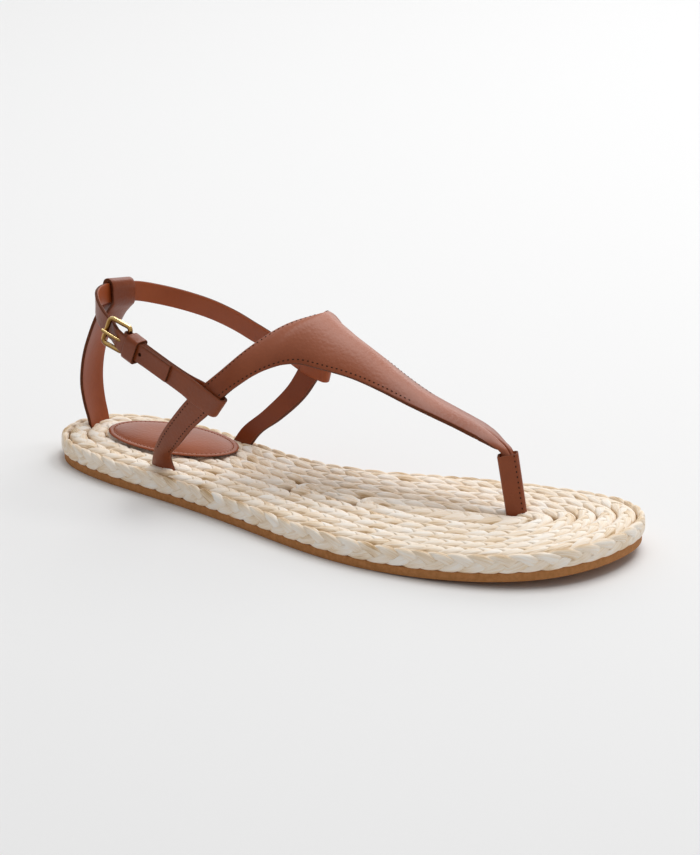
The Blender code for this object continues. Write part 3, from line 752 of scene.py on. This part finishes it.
clear()
bpy.ops.mesh.primitive_circle_add(vertices=PAD_POINTS, fill_type="NGON")
pad = added("heel_cushion")
lay(pad, on_pad(oval, PAD_BASE))
edit(pad)
bpy.ops.mesh.extrude_region_move(TRANSFORM_OT_translate={"value": (0.0, 0.0, PAD_EDGE * MM)})
for inwards, rise in PAD_STEPS:
    bpy.ops.mesh.inset(thickness=inwards * MM, depth=0.0)
    bpy.ops.transform.translate(value=(0.0, 0.0, rise * MM))
for shrink, rise in PAD_DOME:
    bpy.ops.mesh.extrude_region_move(TRANSFORM_OT_translate={"value": (0.0, 0.0, rise * MM)})
    bpy.ops.transform.resize(value=(shrink, shrink, 1.0), center_override=metres((*PAD_AT, 0.0)))
bpy.ops.mesh.poke()
done()
soft = pad.modifiers.new("soft", "SUBSURF")
soft.levels = soft.render_levels = PAD_SOFT
apply_all(pad, PAD_SMOOTH)
put_on(pad, "leather", ["heel_pad"], PAD_LEATHER)

# %% [markdown]
# The vamp is one sheet of leather with a ridge along the instep and two wings that run down to the sole. Its lines
# are tables: the ridge with its two edges from the toe post back, then the back edge, front edge and crown of each
# wing. Each half is a grid primitive whose vertices are laid on those lines, and the two halves are joined along the
# ridge.

# %% Lines of the vamp
RIDGE = (
    ((200.2, 10.9, 31.6), (198.1, 9.2, 31.0), (200.9, 12.7, 31.0)),
    ((198.2, 11.1, 34.0), (196.2, 8.6, 33.3), (198.9, 13.5, 33.1)),
    ((194.6, 11.8, 36.0), (193.4, 8.1, 34.9), (194.4, 15.6, 34.7)),
    ((190.4, 12.1, 37.9), (189.8, 7.3, 36.8), (190.2, 17.0, 36.7)),
    ((186.0, 12.3, 39.5), (186.0, 6.6, 38.2), (186.0, 18.0, 38.3)),
    ((178.0, 12.4, 41.9), (178.0, 6.2, 40.4), (178.0, 18.7, 40.5)),
    ((170.0, 12.2, 44.2), (170.0, 5.4, 42.6), (170.0, 18.8, 42.7)),
    ((160.5, 11.2, 48.3), (160.0, 3.3, 45.7), (160.0, 18.9, 45.6)),
    ((150.0, 9.6, 54.3), (150.0, 0.0, 49.8), (150.0, 18.9, 49.7)),
    ((139.0, 7.6, 61.6), (140.5, -4.0, 53.4), (140.5, 20.2, 53.3)),
    ((129.5, 5.8, 67.3), (131.0, -9.3, 56.2), (131.5, 21.6, 56.1)),
    ((121.3, 4.8, 72.7), (122.5, -14.0, 57.9), (123.5, 23.8, 57.2)),
)
WING_OUTER = (
    ((113.5, -7.0, 69.7), (115.5, -20.3, 55.9), 6.0), ((105.5, -18.0, 62.5), (107.7, -26.9, 50.5), 3.4),
    ((97.0, -26.5, 52.9), (101.6, -30.6, 44.8), 1.6), ((88.3, -29.9, 44.6), (96.4, -30.8, 38.6), 0.8),
    ((77.9, -29.2, 33.7), (85.7, -28.9, 29.2), 0.6), ((69.3, -26.9, 23.8), (77.6, -26.5, 21.0), 0.5),
    ((62.2, -22.6, 14.3), (70.9, -22.5, 13.8), 2.6), ((60.3, -21.4, 8.2), (72.4, -21.4, 8.2), 4.0),
)
WING_INNER = (
    ((116.4, 13.0, 70.7), (116.6, 25.8, 54.0), 5.6), ((109.6, 20.6, 64.4), (111.2, 27.0, 50.1), 3.0),
    ((102.6, 24.4, 56.0), (106.6, 27.6, 45.6), 1.4), ((96.5, 26.1, 46.8), (102.6, 26.8, 39.5), 0.8),
    ((90.0, 25.2, 35.0), (98.2, 24.9, 32.0), 0.6), ((80.2, 22.5, 23.8), (88.6, 21.7, 21.9), 0.5),
    ((70.8, 21.4, 15.7), (79.1, 21.0, 14.6), 0.3), ((65.4, 21.2, 8.2), (74.0, 20.8, 8.2), 0.2),
)
VAMP_THICK, RIDGE_ROUND = 2.0, {-1: 0.45, 1: 0.18}
VAMP_STEPS, VAMP_ACROSS = 6, 13
FOLD_FROM, FOLD_TO, FOLD_AT, FOLD_HALF, FOLD_DEEP = 183.0, 197.0, 0.24, 0.20, 2.0


def looking_out(side):
    """The way that one side of the vamp looks."""
    return np.array((0.0, side, 0.6))


def vamp_half(side, edge_column, wing):
    """One half of the vamp: from the ridge to the cut edge, then down the wing between its two edges."""
    ridge = np.array([row[0] for row in RIDGE])
    back = np.vstack([ridge[-1:], [row[0] for row in wing]])
    front = np.vstack([[row[edge_column] for row in RIDGE], [row[1] for row in wing]])
    crown = [a + np.array((0.0, side, 0.0)) * RIDGE_ROUND[side] * np.linalg.norm(b - a)
             for a, b in zip(ridge, front[:len(ridge)])]
    for k, row in enumerate(wing):
        a, b = np.array(row[0]), np.array(row[1])
        before = front[len(ridge) + k - 1]
        normal = unit(np.cross(b - a, b - before))
        if normal @ looking_out(side) < 0:
            normal = -normal
        crown.append((a + b) / 2 + normal * row[2])
    inner = np.vstack([smooth_rows(ridge, VAMP_STEPS), smooth_rows(back, VAMP_STEPS)[1:]])
    outer, crown = smooth_rows(front, VAMP_STEPS), smooth_rows(crown, VAMP_STEPS)
    c = np.linspace(0.0, 1.0, VAMP_ACROSS)[None, :, None]
    return (1 - c) ** 2 * inner[:, None] + 2 * c * (1 - c) * crown[:, None] + c * c * outer[:, None]


def folded(grid, side):
    """Presses the fold into the gathered tip: a valley a little to the inner side of the ridge."""
    ramp = np.clip((grid[:, :, 0] - FOLD_FROM) / (FOLD_TO - FOLD_FROM), 0.0, 1.0)
    c = side * np.linspace(0.0, 1.0, VAMP_ACROSS)[None, :]
    grid[:, :, 2] -= FOLD_DEEP * ramp * ramp * np.exp(-((c - FOLD_AT) / FOLD_HALF) ** 2)
    return grid


halves = {-1: folded(vamp_half(-1, 1, WING_OUTER), -1), 1: folded(vamp_half(1, 2, WING_INNER), 1)}
print("each half of the vamp has", halves[1].shape[0], "rows of", VAMP_ACROSS)

# %% [markdown]
# Leather sheets are all finished alike. The grid gets its thickness from Solidify, whose rim takes the edge paint,
# and a small bevel rounds the cut edges. The vamp's tip is gathered too tightly for that, and its end is hidden in the
# toe post, so its edges are rounded by hand in edit mode and only as far as the tip.

# %% Sheets and strips of leather
WELD, SHEET_SMOOTH = 0.02, 50.0


def laid_grid(name, grid):
    """A grid primitive with its vertices laid on a table of points."""
    rows, columns = grid.shape[:2]
    clear()
    bpy.ops.mesh.primitive_grid_add(x_subdivisions=columns - 1, y_subdivisions=rows - 1)
    obj = added(name)
    lay(obj, grid.reshape(-1, 3))
    return obj


def welded(obj):
    """Merges the points where a sheet meets itself."""
    edit(obj)
    bpy.ops.mesh.remove_doubles(threshold=WELD * MM)
    done()


def faced(obj, outwards):
    """Turns a sheet's faces round if most of them look inwards."""
    if sum(outwards(face) for face in obj.data.polygons) < 0:
        edit(obj)
        bpy.ops.mesh.flip_normals()
        bpy.ops.object.mode_set(mode="OBJECT")


def thickened(obj, thick, offset=0.0):
    """Gives a sheet its thickness and its painted edges."""
    for look in (CALF, EDGE_PAINT, LINING):
        obj.data.materials.append(look)
    wall = obj.modifiers.new("wall", "SOLIDIFY")
    wall.thickness, wall.offset = thick * MM, offset
    wall.material_offset_rim, wall.material_offset = 1, 2


def finished(obj, thick, ease, *nodes):
    """Makes a sheet a piece of leather with rounded edges, and puts it on."""
    thickened(obj, thick)
    eased(obj, ease)
    apply_all(obj, SHEET_SMOOTH)
    put_on(obj, "leather", nodes, CALF, EDGE_PAINT, LINING)


print("leather sheets get edges in", EDGE_PAINT.name)

# %% [markdown]
# The vamp's leather is pulled hardest along its ridge and not at all at its edges or down the wings. The mesh keeps
# that as an attribute, which its finish reads as a paler tone: partly pulled leather, partly painted sheen. The halves
# are then joined along the ridge, and the sheet is finished.

# %% Vamp
VAMP_EASE, TIP_FROM = 0.3, 188.0
FIRST_WING = (len(RIDGE) - 1) * VAMP_STEPS
# How pale the vamp is along its rows and across them: pulled leather and painted sheen.
PULL_AND_SHEEN_ROWS, PULL_AND_SHEEN_ALONG = (0, 0.4 * FIRST_WING, FIRST_WING), (0.55, 0.65, 1.0)
PULL_AND_SHEEN_FADE, PULL_AND_SHEEN_EDGE = 2.5 * VAMP_STEPS, 2.2


def vamp_sheet(side):
    """One half of the vamp, with how far its leather is pulled, which also sets its painted sheen."""
    obj = laid_grid("vamp_half", halves[side])
    row = np.arange(len(halves[side]))[:, None]
    along = np.interp(row, PULL_AND_SHEEN_ROWS, PULL_AND_SHEEN_ALONG) * np.clip(1.0 - (row - FIRST_WING) / PULL_AND_SHEEN_FADE, 0.0, 1.0)
    pull = along * (1.0 - np.linspace(0.0, 1.0, VAMP_ACROSS) ** PULL_AND_SHEEN_EDGE)
    obj.data.attributes.new("pull", "FLOAT", "POINT").data.foreach_set("value", pull.astype(np.float32).ravel())
    return obj


def ease_to_tip(obj):
    """Rounds the vamp's cut edges as far as its gathered tip."""
    edit(obj)
    bpy.ops.mesh.select_mode(type="EDGE")
    bpy.ops.mesh.select_all(action="DESELECT")
    bpy.ops.mesh.edges_select_sharp(sharpness=SHARP)
    bpy.ops.object.mode_set(mode="OBJECT")
    limit = metres((TIP_FROM, 0.0, 0.0))[0]
    for edge in obj.data.edges:
        edge.select = edge.select and all(obj.data.vertices[v].co.x < limit for v in edge.vertices)
    bpy.ops.object.mode_set(mode="EDIT")
    bpy.ops.mesh.bevel(offset=VAMP_EASE * MM, segments=EASE_STEPS, affect="EDGES", clamp_overlap=False)
    bpy.ops.mesh.select_mode(type="VERT")
    bpy.ops.object.mode_set(mode="OBJECT")


outer_half, inner_half = vamp_sheet(-1), vamp_sheet(1)
pick(outer_half)
inner_half.select_set(True)
bpy.ops.object.join()
vamp = added("vamp")
welded(vamp)
faced(vamp, lambda face: face.normal.z * face.area)
thickened(vamp, VAMP_THICK, -1.0)
apply_all(vamp, SHEET_SMOOTH)
ease_to_tip(vamp)
apply_all(vamp, SHEET_SMOOTH)
# The vamp's inside takes the darker lining, as painted shade.
put_on(vamp, "leather", ["upper"], CALF, EDGE_PAINT, SHADED_VAMP_LINING)

# %% [markdown]
# A strap is a strip along a table. Each row gives the strap's middle, its half width and half its thickness there, and
# for the buckle strap how far its width leans along the strap.

# %% Tables of the straps
STRAP_THICK, STRAP_STEPS = 1.25, 5
ANKLE_STRAP = (
    (105.5, 26.6, 42.8, 4.0, 2.20), (100.2, 26.4, 44.0, 4.0, 2.20), (94.0, 26.5, 45.9, 3.9, 2.00),
    (88.5, 27.2, 47.5, 3.8, 1.60), (80.0, 28.4, 49.0, 3.8, 1.50), (72.0, 29.1, 50.7, 3.8, 0.63),
    (60.0, 29.2, 54.5, 3.8, 0.63), (50.0, 28.0, 57.3, 3.8, 0.63), (40.0, 24.2, 60.0, 3.8, 0.63),
    (32.5, 17.9, 62.6, 3.8, 0.63), (28.0, 10.2, 64.9, 3.8, 0.63), (27.4, 4.8, 65.85, 3.8, 0.63),
    (27.4, 0.3, 66.5, 3.8, 0.63), (27.4, -4.2, 67.15, 3.8, 0.63), (28.3, -9.0, 67.8, 3.8, 0.63),
    (30.8, -15.0, 68.3, 3.8, 0.63), (35.0, -21.2, 67.9, 3.8, 0.63), (40.4, -25.8, 65.6, 3.8, 0.63),
    (46.0, -28.3, 62.7, 3.7, 0.63), (49.6, -29.1, 61.2, 3.7, 0.63), (51.8, -30.2, 60.3, 3.7, 0.63),
    (54.2, -31.4, 59.4, 3.7, 0.63), (57.0, -32.1, 58.3, 3.7, 0.63), (61.5, -31.95, 56.8, 3.6, 0.63),
    (67.0, -31.9, 54.8, 3.6, 0.63), (72.5, -31.9, 52.6, 3.6, 0.63), (78.3, -31.85, 50.2, 3.6, 0.63),
)
BUCKLE_STRAP = (
    (56.8, -29.6, 58.5, 3.7, 1.95, 0.0), (59.4, -29.7, 57.5, 3.7, 1.50, 0.0), (63.0, -29.9, 56.1, 3.8, 1.20, 0.0),
    (71.0, -30.2, 52.8, 3.9, 1.15, 0.0), (80.0, -30.1, 49.1, 3.9, 1.15, 0.0), (86.0, -29.9, 46.7, 4.0, 1.40, 0.10),
    (90.5, -29.6, 44.9, 4.1, 2.25, 0.22), (94.5, -29.6, 43.3, 4.15, 2.35, 0.27),
    (99.2, -29.8, 41.4, 4.15, 2.30, 0.27),
)

ankle_rows = smooth_rows(ANKLE_STRAP, STRAP_STEPS)[::-1]
buckle_rows = smooth_rows(BUCKLE_STRAP, STRAP_STEPS)
print("rows of the ankle strap:", len(ankle_rows), "and of the buckle strap:", len(buckle_rows))

# %% [markdown]
# Where a strap is doubled round a wing or the buckle's bar, its strip runs along the outside, folds round the end and
# comes back along the inside, as the real one does. That is one line with a width at each point, which a grid follows.

# %% Strips and folds
STRIP_CROWN, STRIP_COLUMNS = 0.12, 7
HALF_TURN = np.linspace(0.0, math.pi, 9)


def strap_axes(rows):
    """Directions along a strap, across its width and out of its face."""
    along = turned(rows[:, :3], False)
    wide = unit(UP - along * (along @ UP)[:, None])
    return along, wide, np.cross(along, wide)


def strip_grid(centre, wide, half, crown=STRIP_CROWN):
    """Points across a strip at each place along it, a little crowned."""
    c = np.linspace(-1.0, 1.0, STRIP_COLUMNS)[None, :, None]
    crown = np.broadcast_to(crown, len(centre))[:, None, None]
    out = unit(np.cross(turned(centre, False), wide))
    return centre[:, None] + wide[:, None] * half[:, None, None] * c + out[:, None] * crown * (1 - c * c)


def fold(middle, along, out, step, angles):
    """Points of a fold round the end of a doubled strap."""
    return [middle + along * step * math.sin(a) + out * step * math.cos(a) for a in angles]


def doubled(rows, lean, back_rows):
    """Strip along the outside of a strap, round its last row and some rows back along the inside."""
    along, wide, out = strap_axes(rows)
    leans = wide + along * lean
    step = np.maximum(rows[:, 4:5] - STRAP_THICK / 2, 0.0)
    end = fold(rows[-1, :3], along[-1], out[-1], step[-1], HALF_TURN[1:-1])
    line = np.vstack([rows[:, :3] + out * step, end, (rows[:, :3] - out * step)[::-1][:back_rows]])
    leans = np.vstack([leans, np.repeat(leans[-1:], len(end), 0), leans[::-1][:back_rows]])
    half = np.concatenate([rows[:, 3], np.repeat(rows[-1:, 3], len(end)), rows[::-1, 3][:back_rows]])
    return line, leans, half


print("a fold takes", len(HALF_TURN), "points")

# %% [markdown]
# The ankle strap is a single strip that is doubled only at its sewn end, for a short tab. Its tail has a punched hole
# just past the keeper. A thin cylinder cuts it with a boolean, and leaves its own edge paint on the hole's wall.

# %% Ankle strap
TAB_ROWS, STRAP_EASE = 4, 0.38
HOLE_AT, HOLE_ROUND, HOLE_LONG, HOLE_SIDES = (65.2, -31.9, 55.5), 0.75, 4.0, 24


def discard(obj):
    """Deletes a tool or pattern that is no longer needed."""
    pick(obj)
    bpy.ops.object.delete()


ankle = laid_grid("ankle_strap", strip_grid(*doubled(ankle_rows, 0.0, 1 + TAB_ROWS * STRAP_STEPS)))
thickened(ankle, STRAP_THICK)
eased(ankle, STRAP_EASE)
apply_all(ankle, SHEET_SMOOTH)
clear()
bpy.ops.mesh.primitive_cylinder_add(vertices=HOLE_SIDES, radius=HOLE_ROUND * MM, depth=HOLE_LONG * MM,
                                    location=metres(HOLE_AT), rotation=(math.radians(90.0), 0.0, 0.0))
punch = added("punch")
punch.data.materials.append(EDGE_PAINT)
punched = ankle.modifiers.new("punched", "BOOLEAN")
punched.operation, punched.object = "DIFFERENCE", punch
apply_all(ankle, SHEET_SMOOTH)
discard(punch)
put_on(ankle, "leather", ["upper"], CALF, EDGE_PAINT, LINING)

# %% [markdown]
# The buckle strap is doubled over its whole length: from the bar of the buckle to the wing, round it and back, and
# round the bar to where it began. There its two ends are welded.

# %% Buckle strap
BUCKLE_STRAP_THICK, BUCKLE_STRAP_EASE = STRAP_THICK - 0.2, 0.35
line, leans, half = doubled(buckle_rows, buckle_rows[:, 5:6], len(buckle_rows))
along, _, out = strap_axes(buckle_rows)
round_bar = fold(buckle_rows[0, :3], -along[0], -out[0], buckle_rows[0, 4] - STRAP_THICK / 2, HALF_TURN[1:])
line = np.vstack([line, round_bar])
leans = np.vstack([leans, np.repeat(leans[-1:], len(round_bar), 0)])
half = np.concatenate([half, np.repeat(half[-1:], len(round_bar))])
buckle_strap = laid_grid("buckle_strap", strip_grid(line, leans, half, 0.0))
welded(buckle_strap)
finished(buckle_strap, BUCKLE_STRAP_THICK, BUCKLE_STRAP_EASE, "upper")

# %% [markdown]
# The heel strap rises from the sole, goes over the ankle strap and is folded down on its own inner face, where it is
# sewn. The ankle strap slides in that loop. Low down the strip is cupped round the heel, and in the loop it is flat and
# leans with the ankle strap.

# %% Heel strap
HEEL_BAND = (
    (9.9, 7.5, 8.3, 5.5), (9.3, 7.4, 12.0, 5.6), (8.5, 6.2, 19.0, 5.9), (8.2, 5.3, 27.0, 6.2),
    (9.4, 4.5, 34.0, 6.2), (12.0, 3.4, 41.5, 6.2), (15.6, 2.3, 48.7, 6.2), (19.5, 1.4, 55.6, 6.2),
    (22.5, 0.9, 59.6, 6.3), (24.7, 0.6, 62.6, 6.4), (25.3, 0.35, 66.5, 6.5), (25.4, 0.3, 69.6, 6.5),
    (26.2, 0.3, 71.0, 6.5), (27.4, 0.3, 71.4, 6.5), (28.6, 0.3, 71.0, 6.5), (29.4, 0.3, 69.6, 6.5),
    (29.5, 0.35, 66.0, 6.4), (29.1, 0.6, 62.6, 6.2), (26.9, 0.9, 60.2, 6.0), (24.3, 1.1, 57.2, 5.9),
    (22.1, 1.4, 53.8, 5.8),
)
HEEL_THICK, HEEL_EASE, HEEL_CUP, HEEL_STEPS = 1.3, 0.35, 1.0, 4
LEAN_FROM, LEAN_OVER, LEAN = 55.0, 8.0, 0.15
SIDEWAYS, HEEL_LOOKS = np.array((0.0, 1.0, 0.0)), Vector((-1.0, 0.0, 0.35))
heel_rows = smooth_rows(HEEL_BAND, HEEL_STEPS)
heel_lean = np.clip((heel_rows[:, 2:3] - LEAN_FROM) / LEAN_OVER, 0.0, 1.0)
heel_wide = unit(SIDEWAYS - LEAN * heel_lean * UP)
heel_crown = HEEL_CUP * (1.0 - heel_lean[:, 0])
heel_strap = laid_grid("heel_strap_leather", strip_grid(heel_rows[:, :3], heel_wide, heel_rows[:, 3], heel_crown))
faced(heel_strap, lambda face: face.normal.dot(HEEL_LOOKS) * face.area)
finished(heel_strap, HEEL_THICK, HEEL_EASE, "heel_strap")

# %% [markdown]
# The toe post is a sleeve of leather, wrapped round the gathered tip of the vamp and lapped over itself. It is a strip
# whose line runs round a rounded rectangle and a little further on the outside of itself. It stands askew between the
# toes, and its upper end is cut on a slant.

# %% Toe post
POST_FOOT, POST_TOP = np.array((202.6, 12.1, 8.0)), np.array((199.0, 10.4, 32.2))
POST_HALF, POST_CORNER, POST_WALL, POST_LAP, POST_EASE = (3.3, 1.8), 1.0, 0.8, 0.75, 0.25
CORNER_STEPS, POST_ROWS, LAP_FROM, LAP_OVER = 6, 9, 22, 5.0
WRAP_ORDER = [*range(20, 28), *range(24)]
POST_TURN, POST_SLANT = math.radians(34.0), 0.20
POST_WIDE = np.array((math.cos(POST_TURN), math.sin(POST_TURN), 0.0))
POST_DEEP = np.array((-math.sin(POST_TURN), math.cos(POST_TURN), 0.0))


def rounded_loop(half_a, half_b, corner, steps):
    """Points of a rounded rectangle round the origin, in order."""
    spots = []
    for sa, sb, start in ((1, 1, 0), (-1, 1, 90), (-1, -1, 180), (1, -1, 270)):
        for k in range(steps + 1):
            a = math.radians(start + 90 * k / steps)
            spots.append((sa * (half_a - corner) + corner * math.cos(a), sb * (half_b - corner) + corner * math.sin(a)))
    return np.array(spots)


wrap = rounded_loop(*POST_HALF, POST_CORNER, CORNER_STEPS)[WRAP_ORDER]
away = unit(wrap ** 3 / np.array(POST_HALF) ** 4)
wrap = wrap + away * POST_LAP * np.clip((np.arange(len(wrap)) - LAP_FROM) / LAP_OVER, 0.0, 1.0)[:, None]
post_rise = np.linspace(0.0, 1.0, POST_ROWS)
post_axis = POST_FOOT + (POST_TOP - POST_FOOT) * post_rise[:, None]
post_grid = np.array([[axis + a * (POST_WIDE + POST_SLANT * rise * UP) + b * POST_DEEP
                       for axis, rise in zip(post_axis, post_rise)] for a, b in wrap])
post = laid_grid("toe_sleeve", post_grid)
post_middle = Vector(metres((POST_FOOT + POST_TOP) / 2))
faced(post, lambda face: face.normal.dot(face.center - post_middle))
finished(post, POST_WALL, POST_EASE, "toe_post")

# %% [markdown]
# The buckle's frame is bent from wire. A plane with bevelled corners gives the line, and a curve with a round bevel
# gives the wire. The frame lies along the strap, so its axes come from its two bars.

# %% Buckle frame
REST_BAR, STRAP_BAR = np.array((48.4, -31.3, 61.8)), np.array((56.8, -29.6, 58.5))
WIRE, FRAME_HALF, FRAME_CORNER, FRAME_RAISED = 0.92, 5.2, 1.6, 0.4
WIRE_ROUND, BEND_ROUND, WIRE_SMOOTH = 4, 6, 60.0
frame_along = unit(STRAP_BAR - REST_BAR)
frame_up = unit(UP - frame_along * (UP @ frame_along))
frame_out = np.cross(frame_along, frame_up)
buckle_turn = Matrix(np.array((frame_along, frame_up, frame_out)).T.tolist()).to_4x4()
buckle_turn.translation = Vector(metres((REST_BAR + STRAP_BAR) / 2 + frame_up * FRAME_RAISED))


def wire_mesh(name, radius):
    """Turns the picked edges into a round wire and leaves it a mesh."""
    bpy.ops.object.convert(target="CURVE")
    line = bpy.context.active_object.data
    line.bevel_depth, line.bevel_resolution = radius * MM, WIRE_ROUND
    line.use_fill_caps = True
    bpy.ops.object.convert(target="MESH")
    return added(name)


clear()
bpy.ops.mesh.primitive_plane_add(size=1.0)
outline = added("buckle_line")
half_long = np.linalg.norm(STRAP_BAR - REST_BAR) / 2
outline.data.transform(Matrix.Diagonal((2 * half_long * MM, 2 * FRAME_HALF * MM, 1.0, 1.0)))
edit(outline)
bpy.ops.mesh.bevel(offset=FRAME_CORNER * MM, segments=BEND_ROUND, affect="VERTICES")
bpy.ops.mesh.select_all(action="SELECT")
bpy.ops.mesh.delete(type="ONLY_FACE")
bpy.ops.object.mode_set(mode="OBJECT")
buckle = wire_mesh("buckle_wire", WIRE)
buckle.data.transform(buckle_turn)
apply_all(buckle, WIRE_SMOOTH)
put_on(buckle, "brass", ["buckle_frame"], BRASS)

# %% [markdown]
# The prong is a thinner wire. It is hooked round the bar on the toe side and rests on the other bar. A circle primitive
# gives a line with enough points. They are laid along the prong, and the edge that closes the circle is deleted.

# %% Prong
PRONG_WIRE, PRONG_STEPS = 0.68, 4
HOOK_TURNS = np.radians((-200.0, -240.0, -280.0, -320.0, -360.0))
PRONG_ROWS = ((STRAP_BAR, 3.0, 0.55), (STRAP_BAR, 6.0, 0.5), (REST_BAR, 0.0, 0.1), (REST_BAR, 1.0, -0.05))
rest = WIRE + PRONG_WIRE
hook = [STRAP_BAR + frame_out * rest * math.cos(a) + frame_along * rest * math.sin(a) for a in HOOK_TURNS]
shank = [bar - frame_along * past + frame_out * (rest + rise) for bar, past, rise in PRONG_ROWS]
prong_points = smooth_rows(hook + shank, PRONG_STEPS)
clear()
bpy.ops.mesh.primitive_circle_add(vertices=len(prong_points))
prong = added("prong_line")
lay(prong, prong_points)
edit(prong)
bpy.ops.mesh.select_all(action="DESELECT")
bpy.ops.object.mode_set(mode="OBJECT")
for edge in prong.data.edges:
    edge.select = set(edge.vertices) == {0, len(prong_points) - 1}
bpy.ops.object.mode_set(mode="EDIT")
bpy.ops.mesh.select_mode(type="EDGE")
bpy.ops.mesh.delete(type="EDGE")
bpy.ops.mesh.select_mode(type="VERT")
bpy.ops.object.mode_set(mode="OBJECT")
prong = wire_mesh("buckle_tongue", PRONG_WIRE)
apply_all(prong, WIRE_SMOOTH)
put_on(prong, "brass", ["buckle_prong"], BRASS)

# %% [markdown]
# The keeper is a closed loop of leather that holds the strap's tail down, just behind the buckle.

# %% Keeper
KEEPER_AT, KEEPER_HALF = np.array((61.0, -30.5, 56.7)), 2.8
KEEPER_BENDS, KEEPER_ACROSS = 5, 5
KEEPER_REACH, KEEPER_CORNER, KEEPER_WALL, KEEPER_EASE = (4.45, 2.8), 1.4, 1.0, 0.3
keeper_along = unit(buckle_rows[3 * STRAP_STEPS, :3] - buckle_rows[STRAP_STEPS, :3])
keeper_up = unit(UP - keeper_along * (UP @ keeper_along))
keeper_out = np.cross(keeper_along, keeper_up)
loop = rounded_loop(*KEEPER_REACH, KEEPER_CORNER, KEEPER_BENDS)
loop = np.vstack([loop, loop[:1]])
keeper_line = KEEPER_AT + keeper_up * loop[:, :1] + keeper_out * loop[:, 1:]
keeper_across = KEEPER_HALF * np.linspace(-1.0, 1.0, KEEPER_ACROSS)
keeper_grid = keeper_line[:, None] + keeper_along * keeper_across[None, :, None]
keeper = laid_grid("keeper_loop", keeper_grid)
welded(keeper)
keeper_middle = Vector(metres(KEEPER_AT))
faced(keeper, lambda face: face.normal.dot(face.center - keeper_middle))
finished(keeper, KEEPER_WALL, KEEPER_EASE, "keeper")

# %% [markdown]
# Stitches are short lengths of thread, pulled into the leather. One is modelled from a sphere, and its points are
# copied to every step along a seam, turned so that it lies along the seam and out of the leather.

# %% Stitches
STITCH_PITCH, STITCH_HALF, STITCH_SMOOTH = 1.75, (0.42, 0.25, 0.16), 80.0
NORMAL_SHARE = 0.001
clear()
bpy.ops.mesh.primitive_uv_sphere_add(segments=8, ring_count=6, radius=1.0)
stitch = added("one_stitch")
stitch_points = np.array([v.co for v in stitch.data.vertices]) * STITCH_HALF
stitch_faces = [tuple(p.vertices) for p in stitch.data.polygons]
discard(stitch)


def seam(grid, edge, inset):
    """Points at a distance from one edge of a grid, with the sheet's normals there."""
    grid = grid if edge == 0 else grid[:, ::-1]
    down = np.cumsum(np.linalg.norm(np.diff(grid, axis=1), axis=2), axis=1)
    down = np.c_[np.zeros(len(grid)), down]
    spots = np.array([[np.interp(inset, d, row[:, k]) for k in range(3)] for d, row in zip(down, grid)])
    return spots, unit(np.cross(turned(spots, False), unit(grid[:, 2] - grid[:, 0])))


def sewn(name, seams, node, thread=THREAD):
    """One mesh with a stitch at every step along the seams."""
    points, faces = [], []
    for spots, normals in seams:
        length = np.sum(np.linalg.norm(np.diff(spots, axis=0), axis=1))
        stations, _ = even_steps(np.c_[spots, normals * NORMAL_SHARE], max(2, int(length / STITCH_PITCH)), False)
        spots, normals = stations[:, :3], unit(stations[:, 3:])
        along = turned(spots, False)
        for spot, a, b, n in zip(spots, along, np.cross(normals, along), normals):
            base = len(points) * len(stitch_points)
            points.append(spot + stitch_points @ np.array((a, b, n)))
            faces += [tuple(base + i for i in f) for f in stitch_faces]
    obj = apply_all(built(name, np.vstack(points), faces), STITCH_SMOOTH)
    put_on(obj, "leather", [node], thread)


print("a stitch has", len(stitch_points), "points")

# %% [markdown]
# The thread is dark along the vamp's edges and the sleeve's lap, and lighter round the pad. The vamp's seams are found
# on its own grid, at a fixed distance from the edge, so they follow every bend of it. The pad's seam runs in its sunken
# line, and the sleeve's runs straight up the lap.

# %% Seams
SEAM_INSET, SEAM_END, FRONT_FROM, PAD_SEAM_RAISED = 1.5, -9, 7 * VAMP_STEPS, 0.02
vamp_seams = []
for side in (-1, 1):
    for edge, first in ((0, FIRST_WING + 1), (-1, FRONT_FROM)):
        spots, normals = seam(halves[side][first:SEAM_END], edge, SEAM_INSET)
        vamp_seams.append((spots, normals * np.sign(np.sum(normals @ looking_out(side)))))
sewn("vamp_stitches", vamp_seams, "upper")

pad_seam = oval * (np.array(PAD_HALF) - PAD_MARGIN - SEAM_HALF) / PAD_HALF
pad_seam = on_pad(np.vstack([pad_seam, pad_seam[:1]]), PAD_BASE + PAD_EDGE + PAD_SEAM_RAISED)
sewn("pad_stitches", [(pad_seam, np.broadcast_to(UP, pad_seam.shape))], "heel_pad", PAD_THREAD)

post_seam = (post_axis + POST_WIDE * (POST_HALF[0] - POST_CORNER)
             - POST_DEEP * (POST_HALF[1] + POST_LAP + POST_WALL / 2))[1:]
sewn("sleeve_stitches", [(post_seam, np.broadcast_to(-POST_DEEP, post_seam.shape))], "toe_post")
